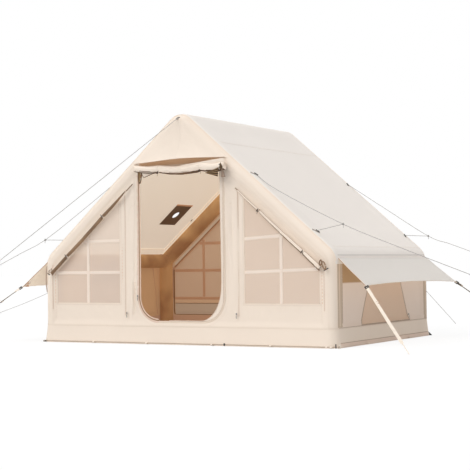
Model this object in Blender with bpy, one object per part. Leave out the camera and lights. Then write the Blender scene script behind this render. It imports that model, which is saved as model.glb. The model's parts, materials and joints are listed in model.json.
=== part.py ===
"""Inflatable house tent with a rolled-up front door, mesh windows, side awnings and guy lines.

Metres, +Z up. The origin is the middle of the floor at ground level, the open door faces -Y and the
eaves run along Y. Every visible piece of fabric, every air beam and every moving fitting is one object.
"""

import math

import bmesh
import bpy
from mathutils import Matrix, Vector

# Driving sizes of the whole tent
BASE_WIDTH = 3.00
BASE_DEPTH = 2.05
RIDGE_HEIGHT = 2.00
SKIRT_FLARE_X = 0.02
SKIRT_FLARE_Y = 0.025
KNEE_HEIGHT = 0.736
KNEE_BEND = 0.10
APEX_BEND = 0.085
SKIRT_HEIGHT = 0.16

# Clearance between touching pieces, and the overrun of every cut
GAP = 0.0003
OVERRUN = 0.01

# Sheets and air beams
FABRIC = 0.003
MESH_FABRIC = 0.002
BEAM_DIAMETER = 0.14
SLEEVE_WALL = 0.002
BLADDER_WALL = 0.0015
BEAM_SIDES = 12
BEAM_TUCK = 0.0028

# Front and rear openings
DOOR_WIDTH = 0.86
DOOR_SILL = 0.205
DOOR_HEADROOM = 0.51
DOOR_LOW_CORNER = 0.20
DOOR_HIGH_CORNER = 0.03
WINDOW_INNER = 0.635
WINDOW_POST_INSET = 0.07
WINDOW_SILL = 0.355
WINDOW_SLOPE_INSET = 0.115
MULLION_WIDTH = 0.032
MULLION_RISES = (0.275, 0.555)
MULLION_UPRIGHT_SHARE = 0.498
MULLION_INSET = 0.004

# Side openings: an arched net in each side wall
ARCH_SILL = 0.175
ARCH_FOOT = 0.51
ARCH_SHOULDER = 0.347
ARCH_SHOULDER_HEIGHT = 0.485
ARCH_CROWN_DROP = 0.086
ARCH_MIDDLE_Y = 0.015

# Rolled fabric
WINDOW_ROLL_RADIUS = 0.02
WINDOW_ROLL_INSET = 0.10
WINDOW_ROLL_INNER = 0.55
WINDOW_ROLL_POST_INSET = 0.03
DOOR_ROLL_RADIUS = 0.04
DOOR_ROLL_RISE = 0.055
DOOR_ROLL_LEFT = 0.43
DOOR_ROLL_RIGHT = 0.485
ROLL_SIDES = 10
ROLL_STATIONS = 20
WINDOW_TIE_SHARES = (0.30, 0.785)
DOOR_TIE_SHARES = (0.25, 0.73)
TIE_PINCH_SHARE = 0.20
TIE_SPREAD_SHARE = 0.025
ROLL_END_SHARE = 0.72

# Hood over each door
HOOD_RISE = 0.105
HOOD_CROWN_DROP = 0.057
HOOD_EDGE = 0.040
HOOD_STANDOFF = 0.08
HOOD_ROW_POWER = 1.8

# Stove pipe panel in the left roof slope, and the rain flap over it
JACK_ALONG_SLOPE = 1.25
JACK_Y = 0.475
JACK_SIZE = 0.28
JACK_HOLE = 0.10
FLAP_SIZE = 0.31

# Side awnings
AWNING_LENGTH = 0.35
AWNING_PITCH = math.radians(40.0)
AWNING_FLARE = 0.045
AWNING_SCALLOP = 0.03

# Awning straps and their ladder locks
STRAP_WIDTH = 0.025
STRAP_THICKNESS = 0.0015
STRAP_TAIL_WIDTH = 0.004
STRAP_TAIL_THICKNESS = 0.002
STRAP_TAIL_SHARE = 0.86
STRAP_SPREAD_X = 0.551
STRAP_SPREAD_Y = 0.461
STRAP_FOOT_Z = 0.004
LOCK_LENGTH = 0.030
LOCK_WIDTH = 0.034
LOCK_THICKNESS = 0.005
LOCK_SLOT = 0.0034
LOCK_BAR = 0.0055
LOCK_GAP = 0.0005
LOCK_FACING = Vector((0.49, -0.87, 0.0))

# Guy lines
GUY_DIAMETER = 0.005
GUY_SAMPLES = 22
BRANCH_SAMPLES = 6
GUY_RESOLUTION = 2
GUY_SEAT_EDGE = 0.012
APEX_SEAT_OFFSET = 0.036

# Inflation valve, on the foot of the rear left post
VALVE_HEIGHT = 0.32
VALVE_FLANGE_RADIUS = 0.018
VALVE_FLANGE = 0.003
VALVE_STEM_RADIUS = 0.011
VALVE_BORE_RADIUS = 0.0072
VALVE_STEM_LENGTH = 0.022
VALVE_BODY_LIFT = 0.004
PLUNGER_HEAD = 0.003
PLUNGER_ROD_RADIUS = 0.0025
PLUNGER_ROD = 0.008
PLUNGER_RUNNING = 0.0004
PLUNGER_DEPTH = 0.004
CAP_RADIUS = 0.0132
CAP_THICKNESS = 0.0035
CAP_BARREL_RADIUS = 0.0022
CAP_BARREL = 0.008
EAR_WIDTH = 0.004
EAR_HALF_DEPTH = 0.0018
ROUND_SIDES = 24
BARREL_SIDES = 12

# Zip sliders
SLIDER_WIDTH = 0.012
SLIDER_LENGTH = 0.018
SLIDER_THICKNESS = 0.005
PULL_WIDTH = 0.006
PULL_LENGTH = 0.032
DOOR_ZIP_EDGE = 0.012
DOOR_SLIDER_HEIGHT = 0.42
WINDOW_ZIP_X = 0.56
WINDOW_SLIDER_HEIGHT = 0.27
SIDE_SLIDER_START = 0.04

# Sizes that follow from the ones above
BEAM_RADIUS = BEAM_DIAMETER / 2
FRAME_WIDTH = BASE_WIDTH - 2 * SKIRT_FLARE_X
FRAME_DEPTH = BASE_DEPTH - 2 * SKIRT_FLARE_Y
KNEE_X = FRAME_WIDTH / 2 - BEAM_RADIUS
FRAME_Y = FRAME_DEPTH / 2 - BEAM_RADIUS
SKIN_INNER = BEAM_RADIUS + GAP
SKIN_OUTER = SKIN_INNER + FABRIC
RIDGE_CENTRE = RIDGE_HEIGHT - SKIN_OUTER
WALL_INNER_Y = FRAME_DEPTH / 2 + GAP
WALL_OUTER_Y = WALL_INNER_Y + FABRIC
SIDE_INNER_X = FRAME_WIDTH / 2 + GAP
SIDE_OUTER_X = SIDE_INNER_X + FABRIC
FACET_HALF = math.pi / BEAM_SIDES
BEAM_FOLD = BEAM_RADIUS * math.tan(FACET_HALF)
ROOF_HALF = FRAME_Y - BEAM_FOLD + MULLION_INSET
FLOOR_TOP = FABRIC
DOOR_TOP = RIDGE_HEIGHT - DOOR_HEADROOM
DOOR_ROLL_HEIGHT = DOOR_TOP + DOOR_ROLL_RISE
HOOD_BOTTOM = DOOR_TOP + HOOD_RISE
HOOD_TOP = RIDGE_HEIGHT - HOOD_CROWN_DROP
WINDOW_OUTER = KNEE_X - WINDOW_POST_INSET
WINDOW_ROLL_OUTER = KNEE_X - WINDOW_ROLL_POST_INSET
ARCH_TOP = KNEE_HEIGHT - ARCH_CROWN_DROP
AWNING_HINGE_HALF = ROOF_HALF + MULLION_WIDTH
AWNING_EDGE_HALF = AWNING_HINGE_HALF + AWNING_FLARE
BEND_STEPS = 4
OUTWARD = {"front": -1, "rear": 1}
ACROSS = {"left": -1, "right": 1}

CREAM = (0.86, 0.76, 0.65)
CREAM_SHADE = (0.80, 0.69, 0.58)
ROOF_GREY = (0.78, 0.75, 0.72)
NET = (0.66, 0.56, 0.48)
AMBER = (0.70, 0.50, 0.33)
CLEAR_FILM = (0.72, 0.74, 0.74)
FLOOR_BROWN = (0.50, 0.40, 0.33)
STOVE_GREY = (0.14, 0.13, 0.12)
BLACK = (0.02, 0.02, 0.02)
ROPE_GREY = (0.45, 0.44, 0.43)
ZIP_METAL = (0.35, 0.33, 0.31)


def clear_scene():
    for old in list(bpy.data.objects):
        bpy.data.objects.remove(old, do_unlink=True)


def material(name, colour, roughness=0.85, metallic=0.0):
    made = bpy.data.materials.new(name)
    made.use_nodes = True
    shader = made.node_tree.nodes["Principled BSDF"]
    shader.inputs["Base Color"].default_value = (*colour, 1.0)
    shader.inputs["Roughness"].default_value = roughness
    shader.inputs["Metallic"].default_value = metallic
    return made


def add_object(name, mesh, finish):
    made = bpy.data.objects.new(name, mesh)
    bpy.context.scene.collection.objects.link(made)
    made.data.materials.append(finish)
    return made


def finish_bmesh(name, bm, finish, smooth=False):
    bmesh.ops.recalc_face_normals(bm, faces=bm.faces)
    mesh = bpy.data.meshes.new(name)
    bm.to_mesh(mesh)
    bm.free()
    if smooth:
        mesh.shade_smooth()
        mesh.set_sharp_from_angle(angle=math.radians(40.0))
    return add_object(name, mesh, finish)


def loft(name, rings, finish, smooth=False, capped=True, closed=False):
    """Joins rings of the same number of points into one body, capped at both ends or closed on itself."""
    bm = bmesh.new()
    loops = [[bm.verts.new(point) for point in ring] for ring in rings]
    count = len(loops[0])
    pairs = list(zip(loops, loops[1:]))
    if closed:
        pairs.append((loops[-1], loops[0]))
    for low, high in pairs:
        for i in range(count):
            j = (i + 1) % count
            bm.faces.new((low[i], low[j], high[j], high[i]))
    if capped and not closed:
        bm.faces.new(loops[0])
        bm.faces.new(reversed(loops[-1]))
    return finish_bmesh(name, bm, finish, smooth)


def prism(name, outline, low, high, finish, axis="y"):
    """An outline of (u, v) pairs made solid between two places on one axis: (x, z) on y, (y, z) on x."""
    def place(u, v, depth):
        return (u, depth, v) if axis == "y" else (depth, u, v)

    rings = [[place(u, v, depth) for u, v in outline] for depth in (low, high)]
    return loft(name, rings, finish)


def slab(name, corner, other, finish):
    x0, y0, z0 = corner
    x1, y1, z1 = other
    return prism(name, [(x0, z0), (x1, z0), (x1, z1), (x0, z1)], y0, y1, finish)


def hide_cutter(cutter):
    cutter.hide_render = True
    cutter.display_type = "WIRE"


def boolean(target, other, operation):
    step = target.modifiers.new(operation.lower(), "BOOLEAN")
    step.operation = operation
    step.solver = "EXACT"
    step.object = other
    hide_cutter(other)


def place(piece, matrix):
    """Puts a piece that was modelled round its own origin at its place in the tent."""
    piece.matrix_world = matrix


def frame_matrix(origin, side, along, normal):
    columns = Matrix((side, along, normal)).transposed().to_4x4()
    return Matrix.Translation(origin) @ columns


def roof_angle():
    """The pitch at which a straight beam meets the knee and the rounded apex."""
    angle = math.atan2(RIDGE_CENTRE - KNEE_HEIGHT, KNEE_X)
    for _ in range(30):
        lift = APEX_BEND * (1 / math.cos(angle) - 1)
        angle = math.atan2(RIDGE_CENTRE + lift - KNEE_HEIGHT, KNEE_X)
    return angle


ROOF_ANGLE = roof_angle()
KNEE_TURN = math.pi / 2 - ROOF_ANGLE
SHARP_APEX = RIDGE_CENTRE + APEX_BEND * (1 / math.cos(ROOF_ANGLE) - 1)
KNEE_CENTRE = Vector((KNEE_X - KNEE_BEND, 0.0, KNEE_HEIGHT - KNEE_BEND * math.tan(KNEE_TURN / 2)))
APEX_CENTRE = Vector((0.0, 0.0, RIDGE_CENTRE - APEX_BEND))


def radial(angle):
    return Vector((math.cos(angle), 0.0, math.sin(angle)))


def half_path(offset, foot):
    """The right half of the gable's line, moved outwards by offset: (point, outward normal) pairs."""
    stations = [(Vector((KNEE_X + offset, 0.0, foot)), radial(0.0))]
    for i in range(BEND_STEPS + 1):
        turn = KNEE_TURN * i / BEND_STEPS
        stations.append((KNEE_CENTRE + radial(turn) * (KNEE_BEND + offset), radial(turn)))
    for i in range(BEND_STEPS + 1):
        turn = KNEE_TURN + (math.pi / 2 - KNEE_TURN) * i / BEND_STEPS
        stations.append((APEX_CENTRE + radial(turn) * (APEX_BEND + offset), radial(turn)))
    return stations


def mirrored(point):
    return Vector((-point.x, point.y, point.z))


def full_path(offset, foot):
    right = half_path(offset, foot)
    left = [(mirrored(point), mirrored(normal)) for point, normal in right[:-1]]
    return right + left[::-1]


def slope_height(x, offset):
    """Height of the roof's sloped line, moved outwards by offset, above a place x from the middle."""
    return SHARP_APEX + offset / math.cos(ROOF_ANGLE) - abs(x) * math.tan(ROOF_ANGLE)


def slope_reach(z, offset):
    return (SHARP_APEX + offset / math.cos(ROOF_ANGLE) - z) / math.tan(ROOF_ANGLE)


def path_offset(x, z):
    """How far a point of the gable lies outside the beams' centre line near the apex."""
    from_apex = Vector((abs(x), 0.0, z)) - APEX_CENTRE
    if math.atan2(from_apex.x, from_apex.z) < ROOF_ANGLE and from_apex.z > 0:
        return from_apex.length - APEX_BEND
    return (z - slope_height(x, 0.0)) * math.cos(ROOF_ANGLE)


def front_surface(offset):
    """Distance in Y from the tent's middle to the gable's outer skin, over the wall or the beam."""
    if offset <= 0:
        return WALL_OUTER_Y
    reaches = []
    for k in range(1, BEAM_SIDES // 4 + 1):
        lean = 2 * FACET_HALF * k
        reaches.append((BEAM_RADIUS - offset * math.cos(lean)) / math.sin(lean))
    return min(WALL_OUTER_Y, FRAME_Y + min(reaches) + FABRIC)


def beam_ring(centre, normal, across, apothem):
    """A beam's section: flats face along the normal, across it and every twelfth of a turn between."""
    radius = apothem / math.cos(FACET_HALF)
    angles = [FACET_HALF * (2 * i + 1) for i in range(BEAM_SIDES)]
    return [centre + (normal * math.cos(a) + across * math.sin(a)) * radius for a in angles]


def hollow_beam(name, stations, across, outer, wall, finish):
    """An open-ended tube of fabric or film: outer rings one way, inner rings back."""
    out = [beam_ring(point, normal, across, outer) for point, normal in stations]
    back = [beam_ring(point, normal, across, outer - wall) for point, normal in reversed(stations)]
    return loft(name, out + back, finish, smooth=True, closed=True)


def moved(stations, y, lift=0.0):
    shift = Vector((0.0, y, lift))
    return [(point + shift, normal) for point, normal in stations]


def valve_frame():
    """Place and axes of the valve, on the flat of the rear left post that faces outwards and back."""
    lean = 2 * FACET_HALF
    normal = Vector((-math.sin(lean), math.cos(lean), 0.0))
    origin = Vector((-KNEE_X, FRAME_Y, VALVE_HEIGHT)) + normal * BEAM_RADIUS
    up = Vector((0.0, 0.0, 1.0))
    return frame_matrix(origin, up.cross(normal), up, normal)


def round_ring(radius, height, sides=ROUND_SIDES):
    turns = [2 * math.pi * i / sides for i in range(sides)]
    return [(radius * math.cos(a), radius * math.sin(a), height) for a in turns]


def make_air_frames(sleeve, film):
    across = Vector((0.0, 1.0, 0.0))
    foot = FLOOR_TOP + GAP
    stations = full_path(0.0, foot)
    for end, sign in OUTWARD.items():
        line = moved(stations, sign * FRAME_Y)
        cover = hollow_beam(f"{end}_frame_sleeve", line, across, BEAM_RADIUS, SLEEVE_WALL, sleeve)
        inside = BEAM_RADIUS - SLEEVE_WALL - GAP
        bag = hollow_beam(f"{end}_frame_bladder", line, across, inside, BLADDER_WALL, film)
        if end == "rear":
            through = VALVE_STEM_LENGTH + OVERRUN
            rings = [round_ring(VALVE_STEM_RADIUS + GAP, h) for h in (-through, OVERRUN)]
            cutter = loft("valve_hole_cutter", rings, sleeve)
            place(cutter, valve_frame())
            boolean(cover, cutter, "DIFFERENCE")
            boolean(bag, cutter, "DIFFERENCE")


def make_long_beams(sleeve):
    half = FRAME_Y - BEAM_RADIUS - GAP
    for side, sign in ACROSS.items():
        centre = KNEE_CENTRE + radial(KNEE_TURN / 2) * (KNEE_BEND - BEAM_TUCK)
        normal = radial(KNEE_TURN / 2)
        if sign < 0:
            centre, normal = mirrored(centre), mirrored(normal)
        across = normal.cross(Vector((0.0, 1.0, 0.0)))
        line = [(centre + Vector((0.0, y, 0.0)), normal) for y in (-half, half)]
        hollow_beam(f"{side}_eave_beam", line, across, BEAM_RADIUS, SLEEVE_WALL, sleeve)
    centre = Vector((0.0, 0.0, RIDGE_CENTRE - BEAM_TUCK))
    line = [(centre + Vector((0.0, y, 0.0)), radial(math.pi / 2)) for y in (-half, half)]
    hollow_beam("ridge_beam", line, radial(0.0), BEAM_RADIUS, SLEEVE_WALL, sleeve)


def make_valve(plastic):
    """Valve round its own origin: +Z points out of the beam, and z = 0 is the sleeve's face."""
    base = GAP
    top = base + VALVE_FLANGE
    face = top + VALVE_BODY_LIFT
    profile = [
        round_ring(VALVE_BORE_RADIUS, -VALVE_STEM_LENGTH),
        round_ring(VALVE_STEM_RADIUS, -VALVE_STEM_LENGTH),
        round_ring(VALVE_STEM_RADIUS, base),
        round_ring(VALVE_FLANGE_RADIUS, base),
        round_ring(VALVE_FLANGE_RADIUS, top),
        round_ring(VALVE_STEM_RADIUS, top),
        round_ring(VALVE_STEM_RADIUS, face),
        round_ring(VALVE_BORE_RADIUS, face),
    ]
    body = loft("valve_body", profile, plastic, smooth=True, closed=True)
    hinge_y = VALVE_FLANGE_RADIUS - CAP_BARREL_RADIUS
    hinge_z = face + GAP + CAP_BARREL_RADIUS
    ear_inner = CAP_BARREL / 2 + GAP
    for sign in (-1, 1):
        low = sorted((sign * ear_inner, sign * (ear_inner + EAR_WIDTH)))
        ear = slab(
            "valve_ear_shape",
            (low[0], hinge_y - EAR_HALF_DEPTH, top - VALVE_FLANGE / 2),
            (low[1], hinge_y + EAR_HALF_DEPTH, hinge_z + EAR_HALF_DEPTH),
            plastic,
        )
        boolean(body, ear, "UNION")
        place(ear, valve_frame())
    place(body, valve_frame())

    head = VALVE_BORE_RADIUS - PLUNGER_RUNNING
    low = face - PLUNGER_DEPTH - PLUNGER_HEAD
    rings = [
        round_ring(head, low),
        round_ring(head, low + PLUNGER_HEAD),
        round_ring(PLUNGER_ROD_RADIUS, low + PLUNGER_HEAD),
        round_ring(PLUNGER_ROD_RADIUS, face - GAP),
    ]
    place(loft("valve_plunger", rings, plastic, smooth=True), valve_frame())

    under = face + GAP
    over = under + CAP_THICKNESS
    cap = loft("valve_cap", [round_ring(CAP_RADIUS, z) for z in (under, over)], plastic, smooth=True)
    tongue = slab(
        "cap_tongue_shape",
        (-CAP_BARREL / 2, CAP_RADIUS / 2, under),
        (CAP_BARREL / 2, hinge_y, over),
        plastic,
    )
    boolean(cap, tongue, "UNION")
    place(tongue, valve_frame())
    turns = [2 * math.pi * i / BARREL_SIDES for i in range(BARREL_SIDES)]
    barrel_rings = [
        [
            (
                x,
                hinge_y + CAP_BARREL_RADIUS * math.cos(a),
                hinge_z + CAP_BARREL_RADIUS * math.sin(a),
            )
            for a in turns
        ]
        for x in (-CAP_BARREL / 2, CAP_BARREL / 2)
    ]
    barrel = loft("cap_barrel_shape", barrel_rings, plastic)
    boolean(cap, barrel, "UNION")
    place(barrel, valve_frame())
    place(cap, valve_frame())


def roof_section(sign):
    outer = [point for point, _ in half_path(SKIN_OUTER, KNEE_CENTRE.z)][1:]
    inner = [point for point, _ in half_path(SKIN_INNER, KNEE_CENTRE.z)][1:]
    outline = [(sign * max(p.x, GAP / 2), p.z) for p in outer + inner[::-1]]
    return outline if sign > 0 else outline[::-1]


def slope_frame(side, distance, y, lift):
    """A place on a roof slope: distance down from the ridge line, with the outward normal."""
    sign = ACROSS[side]
    normal = Vector((sign * math.sin(ROOF_ANGLE), 0.0, math.cos(ROOF_ANGLE)))
    down = Vector((sign * math.cos(ROOF_ANGLE), 0.0, -math.sin(ROOF_ANGLE)))
    start = Vector((0.0, y, SHARP_APEX))
    origin = start + down * distance + normal * lift
    return frame_matrix(origin, down.cross(normal), down, normal)


def make_roof(fabric, stove_cloth, trim):
    for side, sign in ACROSS.items():
        panel = prism(f"{side}_roof_panel", roof_section(sign), -ROOF_HALF, ROOF_HALF, fabric)
        if side == "left":
            half = JACK_SIZE / 2
            hole = slab("jack_cutter", (-half, -half, -OVERRUN), (half, half, OVERRUN), fabric)
            place(hole, slope_frame("left", JACK_ALONG_SLOPE, JACK_Y, SKIN_OUTER))
            boolean(panel, hole, "DIFFERENCE")
    half = JACK_SIZE / 2 - GAP
    patch = slab("stove_jack_panel", (-half, -half, -FABRIC), (half, half, 0.0), stove_cloth)
    place(patch, slope_frame("left", JACK_ALONG_SLOPE, JACK_Y, SKIN_OUTER))
    rings = [round_ring(JACK_HOLE / 2, z) for z in (-OVERRUN, OVERRUN)]
    pipe = loft("pipe_hole_cutter", rings, stove_cloth)
    place(pipe, slope_frame("left", JACK_ALONG_SLOPE, JACK_Y, SKIN_OUTER))
    boolean(patch, pipe, "DIFFERENCE")

    half = FLAP_SIZE / 2
    flap = slab(
        "stove_jack_flap",
        (-half, -FLAP_SIZE, -FABRIC / 2),
        (half, 0.0, FABRIC / 2),
        trim,
    )
    hinge = JACK_ALONG_SLOPE - JACK_SIZE / 2
    lift = SKIN_OUTER + GAP + FABRIC / 2
    place(flap, slope_frame("left", hinge, JACK_Y, lift))


def arc(centre_u, centre_v, radius, start, stop, steps):
    turns = [start + (stop - start) * i / steps for i in range(steps + 1)]
    return [(centre_u + radius * math.cos(a), centre_v + radius * math.sin(a)) for a in turns]


def door_outline(inset):
    """The doorway: wide round corners at the sill and small ones under the roll."""
    half = DOOR_WIDTH / 2 - inset
    low = DOOR_SILL + inset
    high = DOOR_TOP - inset
    wide = DOOR_LOW_CORNER - inset
    small = DOOR_HIGH_CORNER - inset
    right = math.pi / 2
    points = arc(half - wide, low + wide, wide, -right, 0.0, 6)
    points += arc(half - small, high - small, small, 0.0, right, 2)
    points += arc(-half + small, high - small, small, right, 2 * right, 2)
    points += arc(-half + wide, low + wide, wide, 2 * right, 3 * right, 6)
    return points


def window_outline(sign, inset):
    slope = -WINDOW_SLOPE_INSET - inset
    inner = WINDOW_INNER + inset
    outer = WINDOW_OUTER - inset
    points = [
        (inner, WINDOW_SILL + inset),
        (outer, WINDOW_SILL + inset),
        (outer, slope_height(outer, slope)),
        (inner, slope_height(inner, slope)),
    ]
    points = [(sign * x, z) for x, z in points]
    return points if sign > 0 else points[::-1]


def arch_outline(inset):
    """The net in a side wall: sides lean in from the foot to the shoulder, then round to the top."""
    low = ARCH_SILL + inset
    foot = ARCH_FOOT - inset
    shoulder = ARCH_SHOULDER - inset
    rise = ARCH_TOP - inset - ARCH_SHOULDER_HEIGHT
    turns = [math.pi * i / 10 for i in range(11)]
    top = [(shoulder * math.cos(a), ARCH_SHOULDER_HEIGHT + rise * math.sin(a)) for a in turns]
    points = [(foot, low)] + top + [(-foot, low)]
    return [(y + ARCH_MIDDLE_Y, z) for y, z in points]


def gable_outline():
    points = [point for point, _ in full_path(0.0, SKIRT_HEIGHT + GAP)]
    return [(p.x, p.z) for p in points]


def make_gable_walls(fabric, net, trim):
    for end, sign in OUTWARD.items():
        near, far = sorted((sign * WALL_INNER_Y, sign * WALL_OUTER_Y))
        wall = prism(f"{end}_gable_wall", gable_outline(), near, far, fabric)
        door = prism("door_cutter", door_outline(0.0), near - OVERRUN, far + OVERRUN, fabric)
        boolean(wall, door, "DIFFERENCE")
        for side, across in ACROSS.items():
            outline = window_outline(across, 0.0)
            cutter = prism("window_cutter", outline, near - OVERRUN, far + OVERRUN, fabric)
            boolean(wall, cutter, "DIFFERENCE")
            make_window(f"{end}_{side}_window", sign, across, net)
    near, far = WALL_INNER_Y, WALL_OUTER_Y
    prism("rear_door_panel", door_outline(GAP), near, far, trim)


def make_window(name, sign, across, net):
    """Net with the sewn cross strips on its outer face."""
    inner = WALL_INNER_Y
    face = inner + MESH_FABRIC
    proud = WALL_OUTER_Y + GAP
    near, far = sorted((sign * inner, sign * face))
    window = prism(name, window_outline(across, GAP), near, far, net)
    half = MULLION_WIDTH / 2
    low, high = sorted((sign * (inner + MESH_FABRIC / 2), sign * proud))
    slope = -WINDOW_SLOPE_INSET - MULLION_INSET
    left = WINDOW_INNER + MULLION_INSET
    bars = []
    for rise in MULLION_RISES:
        z = WINDOW_SILL + rise
        top = min(WINDOW_OUTER - MULLION_INSET, slope_reach(z + half, slope))
        bottom = min(WINDOW_OUTER - MULLION_INSET, slope_reach(z - half, slope))
        bars.append([(left, z - half), (bottom, z - half), (top, z + half), (left, z + half)])
    upright = WINDOW_INNER + (WINDOW_OUTER - WINDOW_INNER) * MULLION_UPRIGHT_SHARE
    x0, x1 = upright - half, upright + half
    foot = WINDOW_SILL + MULLION_INSET
    bars.append([(x0, foot), (x1, foot), (x1, slope_height(x1, slope)), (x0, slope_height(x0, slope))])
    for bar in bars:
        outline = [(across * x, z) for x, z in bar]
        strip = prism("mullion_shape", outline if across > 0 else outline[::-1], low, high, net)
        boolean(window, strip, "UNION")


def make_side_walls(fabric, net):
    top = KNEE_CENTRE.z - GAP
    for side, sign in ACROSS.items():
        near, far = sorted((sign * SIDE_INNER_X, sign * SIDE_OUTER_X))
        low = SKIRT_HEIGHT + GAP
        outline = [(-FRAME_Y, low), (FRAME_Y, low), (FRAME_Y, top), (-FRAME_Y, top)]
        wall = prism(f"{side}_side_wall", outline, near, far, fabric, axis="x")
        ends = (near - OVERRUN, far + OVERRUN)
        cutter = prism("arch_cutter", arch_outline(0.0), *ends, fabric, axis="x")
        boolean(wall, cutter, "DIFFERENCE")
        near, far = sorted((sign * SIDE_INNER_X, sign * (SIDE_INNER_X + MESH_FABRIC)))
        prism(f"{side}_side_net", arch_outline(GAP), near, far, net, axis="x")


def rounded_base(half_x, half_y, radius, z):
    """A rectangle whose corners follow the flats of the post that stands in each of them."""
    points = []
    reach = radius / math.cos(FACET_HALF)
    for quarter in range(4):
        turn = quarter * math.pi / 2
        cx = (half_x - radius) * (1 if quarter in (0, 3) else -1)
        cy = (half_y - radius) * (1 if quarter in (0, 1) else -1)
        for k in (1, 3, 5):
            a = turn + FACET_HALF * k
            points.append((cx + reach * math.cos(a), cy + reach * math.sin(a), z))
    return points


def make_base(skirt_cloth, floor_cloth):
    flare_x = BASE_WIDTH / 2 - SIDE_OUTER_X
    flare_y = BASE_DEPTH / 2 - WALL_OUTER_Y
    wide = SKIN_OUTER + flare_x
    rings = [
        rounded_base(SIDE_OUTER_X, WALL_OUTER_Y, SKIN_OUTER, SKIRT_HEIGHT),
        rounded_base(BASE_WIDTH / 2, BASE_DEPTH / 2, wide, 0.0),
        rounded_base(BASE_WIDTH / 2 - FABRIC, BASE_DEPTH / 2 - FABRIC, wide - FABRIC, 0.0),
        rounded_base(SIDE_INNER_X, WALL_INNER_Y, SKIN_INNER, SKIRT_HEIGHT),
    ]
    loft("ground_skirt", rings, skirt_cloth, closed=True)
    rise_share = FLOOR_TOP / SKIRT_HEIGHT
    inset_x = FABRIC + flare_x * rise_share + GAP
    inset_y = FABRIC + flare_y * rise_share + GAP
    half_x = BASE_WIDTH / 2 - inset_x
    half_y = BASE_DEPTH / 2 - inset_y
    rings = [rounded_base(half_x, half_y, wide - FABRIC, z) for z in (0.0, FLOOR_TOP)]
    loft("ground_sheet", rings, floor_cloth)


def roll_radius(share, radius, ties):
    """A roll of cloth is drawn in at its ties and thins towards its ends."""
    swell = 1.0
    for tie in ties:
        swell -= TIE_PINCH_SHARE * math.exp(-(((share - tie) / TIE_SPREAD_SHARE) ** 2))
    end = min(share, 1 - share)
    taper = ROLL_END_SHARE + (1 - ROLL_END_SHARE) * min(1.0, end / (2 * TIE_SPREAD_SHARE))
    return radius * swell * taper


def roll_shares(ties):
    shares = [i / ROLL_STATIONS for i in range(ROLL_STATIONS + 1)]
    for tie in ties:
        nearest = min(range(len(shares)), key=lambda i: abs(shares[i] - tie))
        shares[nearest] = tie
    return shares


def fabric_roll(name, start, stop, radius, ties, finish):
    along = (stop - start).normalized()
    side = along.cross(Vector((0.0, 1.0, 0.0))).normalized()
    back = side.cross(along)
    rings = []
    for share in roll_shares(ties):
        r = roll_radius(share, radius, ties)
        centre = start.lerp(stop, share)
        turns = [2 * math.pi * (i + 0.5) / ROLL_SIDES for i in range(ROLL_SIDES)]
        rings.append([centre + (side * math.cos(a) + back * math.sin(a)) * r for a in turns])
    return loft(name, rings, finish, smooth=True)


def make_rolls(fabric):
    for end, sign in OUTWARD.items():
        depth = sign * (WALL_OUTER_Y + GAP + WINDOW_ROLL_RADIUS)
        for side, across in ACROSS.items():
            ends = []
            for x in (WINDOW_ROLL_INNER, WINDOW_ROLL_OUTER):
                ends.append(Vector((across * x, depth, slope_height(x, -WINDOW_ROLL_INSET))))
            name = f"{end}_{side}_window_roll"
            fabric_roll(name, *ends, WINDOW_ROLL_RADIUS, WINDOW_TIE_SHARES, fabric)
    depth = -(WALL_OUTER_Y + GAP + DOOR_ROLL_RADIUS)
    start = Vector((-DOOR_ROLL_LEFT, depth, DOOR_ROLL_HEIGHT))
    stop = Vector((DOOR_ROLL_RIGHT, depth, DOOR_ROLL_HEIGHT))
    fabric_roll("front_door_roll", start, stop, DOOR_ROLL_RADIUS, DOOR_TIE_SHARES, fabric)


def sheet_solid(name, grid, thickness, finish):
    """A sheet given by rows of outer points, made solid by the thickness vector of each point."""
    bm = bmesh.new()
    rows, columns = len(grid), len(grid[0])
    outer = [[bm.verts.new(p) for p in row] for row in grid]
    inner = [[bm.verts.new(p + thickness) for p in row] for row in grid]
    for i in range(rows - 1):
        for j in range(columns - 1):
            bm.faces.new((outer[i][j], outer[i][j + 1], outer[i + 1][j + 1], outer[i + 1][j]))
            bm.faces.new((inner[i][j], inner[i + 1][j], inner[i + 1][j + 1], inner[i][j + 1]))
    rim = [(0, j) for j in range(columns)]
    rim += [(i, columns - 1) for i in range(1, rows)]
    rim += [(rows - 1, j) for j in range(columns - 2, -1, -1)]
    rim += [(i, 0) for i in range(rows - 2, 0, -1)]
    for (a, b), (c, d) in zip(rim, rim[1:] + rim[:1]):
        bm.faces.new((outer[a][b], inner[a][b], inner[c][d], outer[c][d]))
    return finish_bmesh(name, bm, finish, smooth=True)


def offset_reach(z, offset):
    """Distance from the tent's middle, at a height z, to the gable's line moved outwards by offset."""
    radius = APEX_BEND + offset
    rise = z - APEX_CENTRE.z
    if rise > radius * math.cos(ROOF_ANGLE):
        return math.sqrt(max(0.0, radius**2 - rise**2))
    return slope_reach(z, offset)


def make_hoods(fabric):
    """The triangle over each door: flat on the beams at its sides, standing off at its lower edge."""
    rows, columns = 10, 9
    for end, sign in OUTWARD.items():
        grid = []
        for i in range(rows):
            drop = (i / (rows - 1)) ** HOOD_ROW_POWER
            z = HOOD_TOP + (HOOD_BOTTOM - HOOD_TOP) * drop
            edge = offset_reach(z, HOOD_EDGE)
            fold = offset_reach(z, BEAM_FOLD)
            inner = [fold * (2 * j / (columns - 1) - 1) for j in range(columns)]
            row = []
            for x in [-edge, *inner, edge]:
                rest = front_surface(path_offset(x, z)) + GAP + FABRIC
                stand = (HOOD_STANDOFF - FABRIC) * drop**2 * (1 - (x / edge) ** 2)
                row.append(Vector((x, sign * (rest + stand), z)))
            grid.append(row)
        sheet_solid(f"{end}_gable_hood", grid, Vector((0.0, -sign * FABRIC, 0.0)), fabric)


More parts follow.
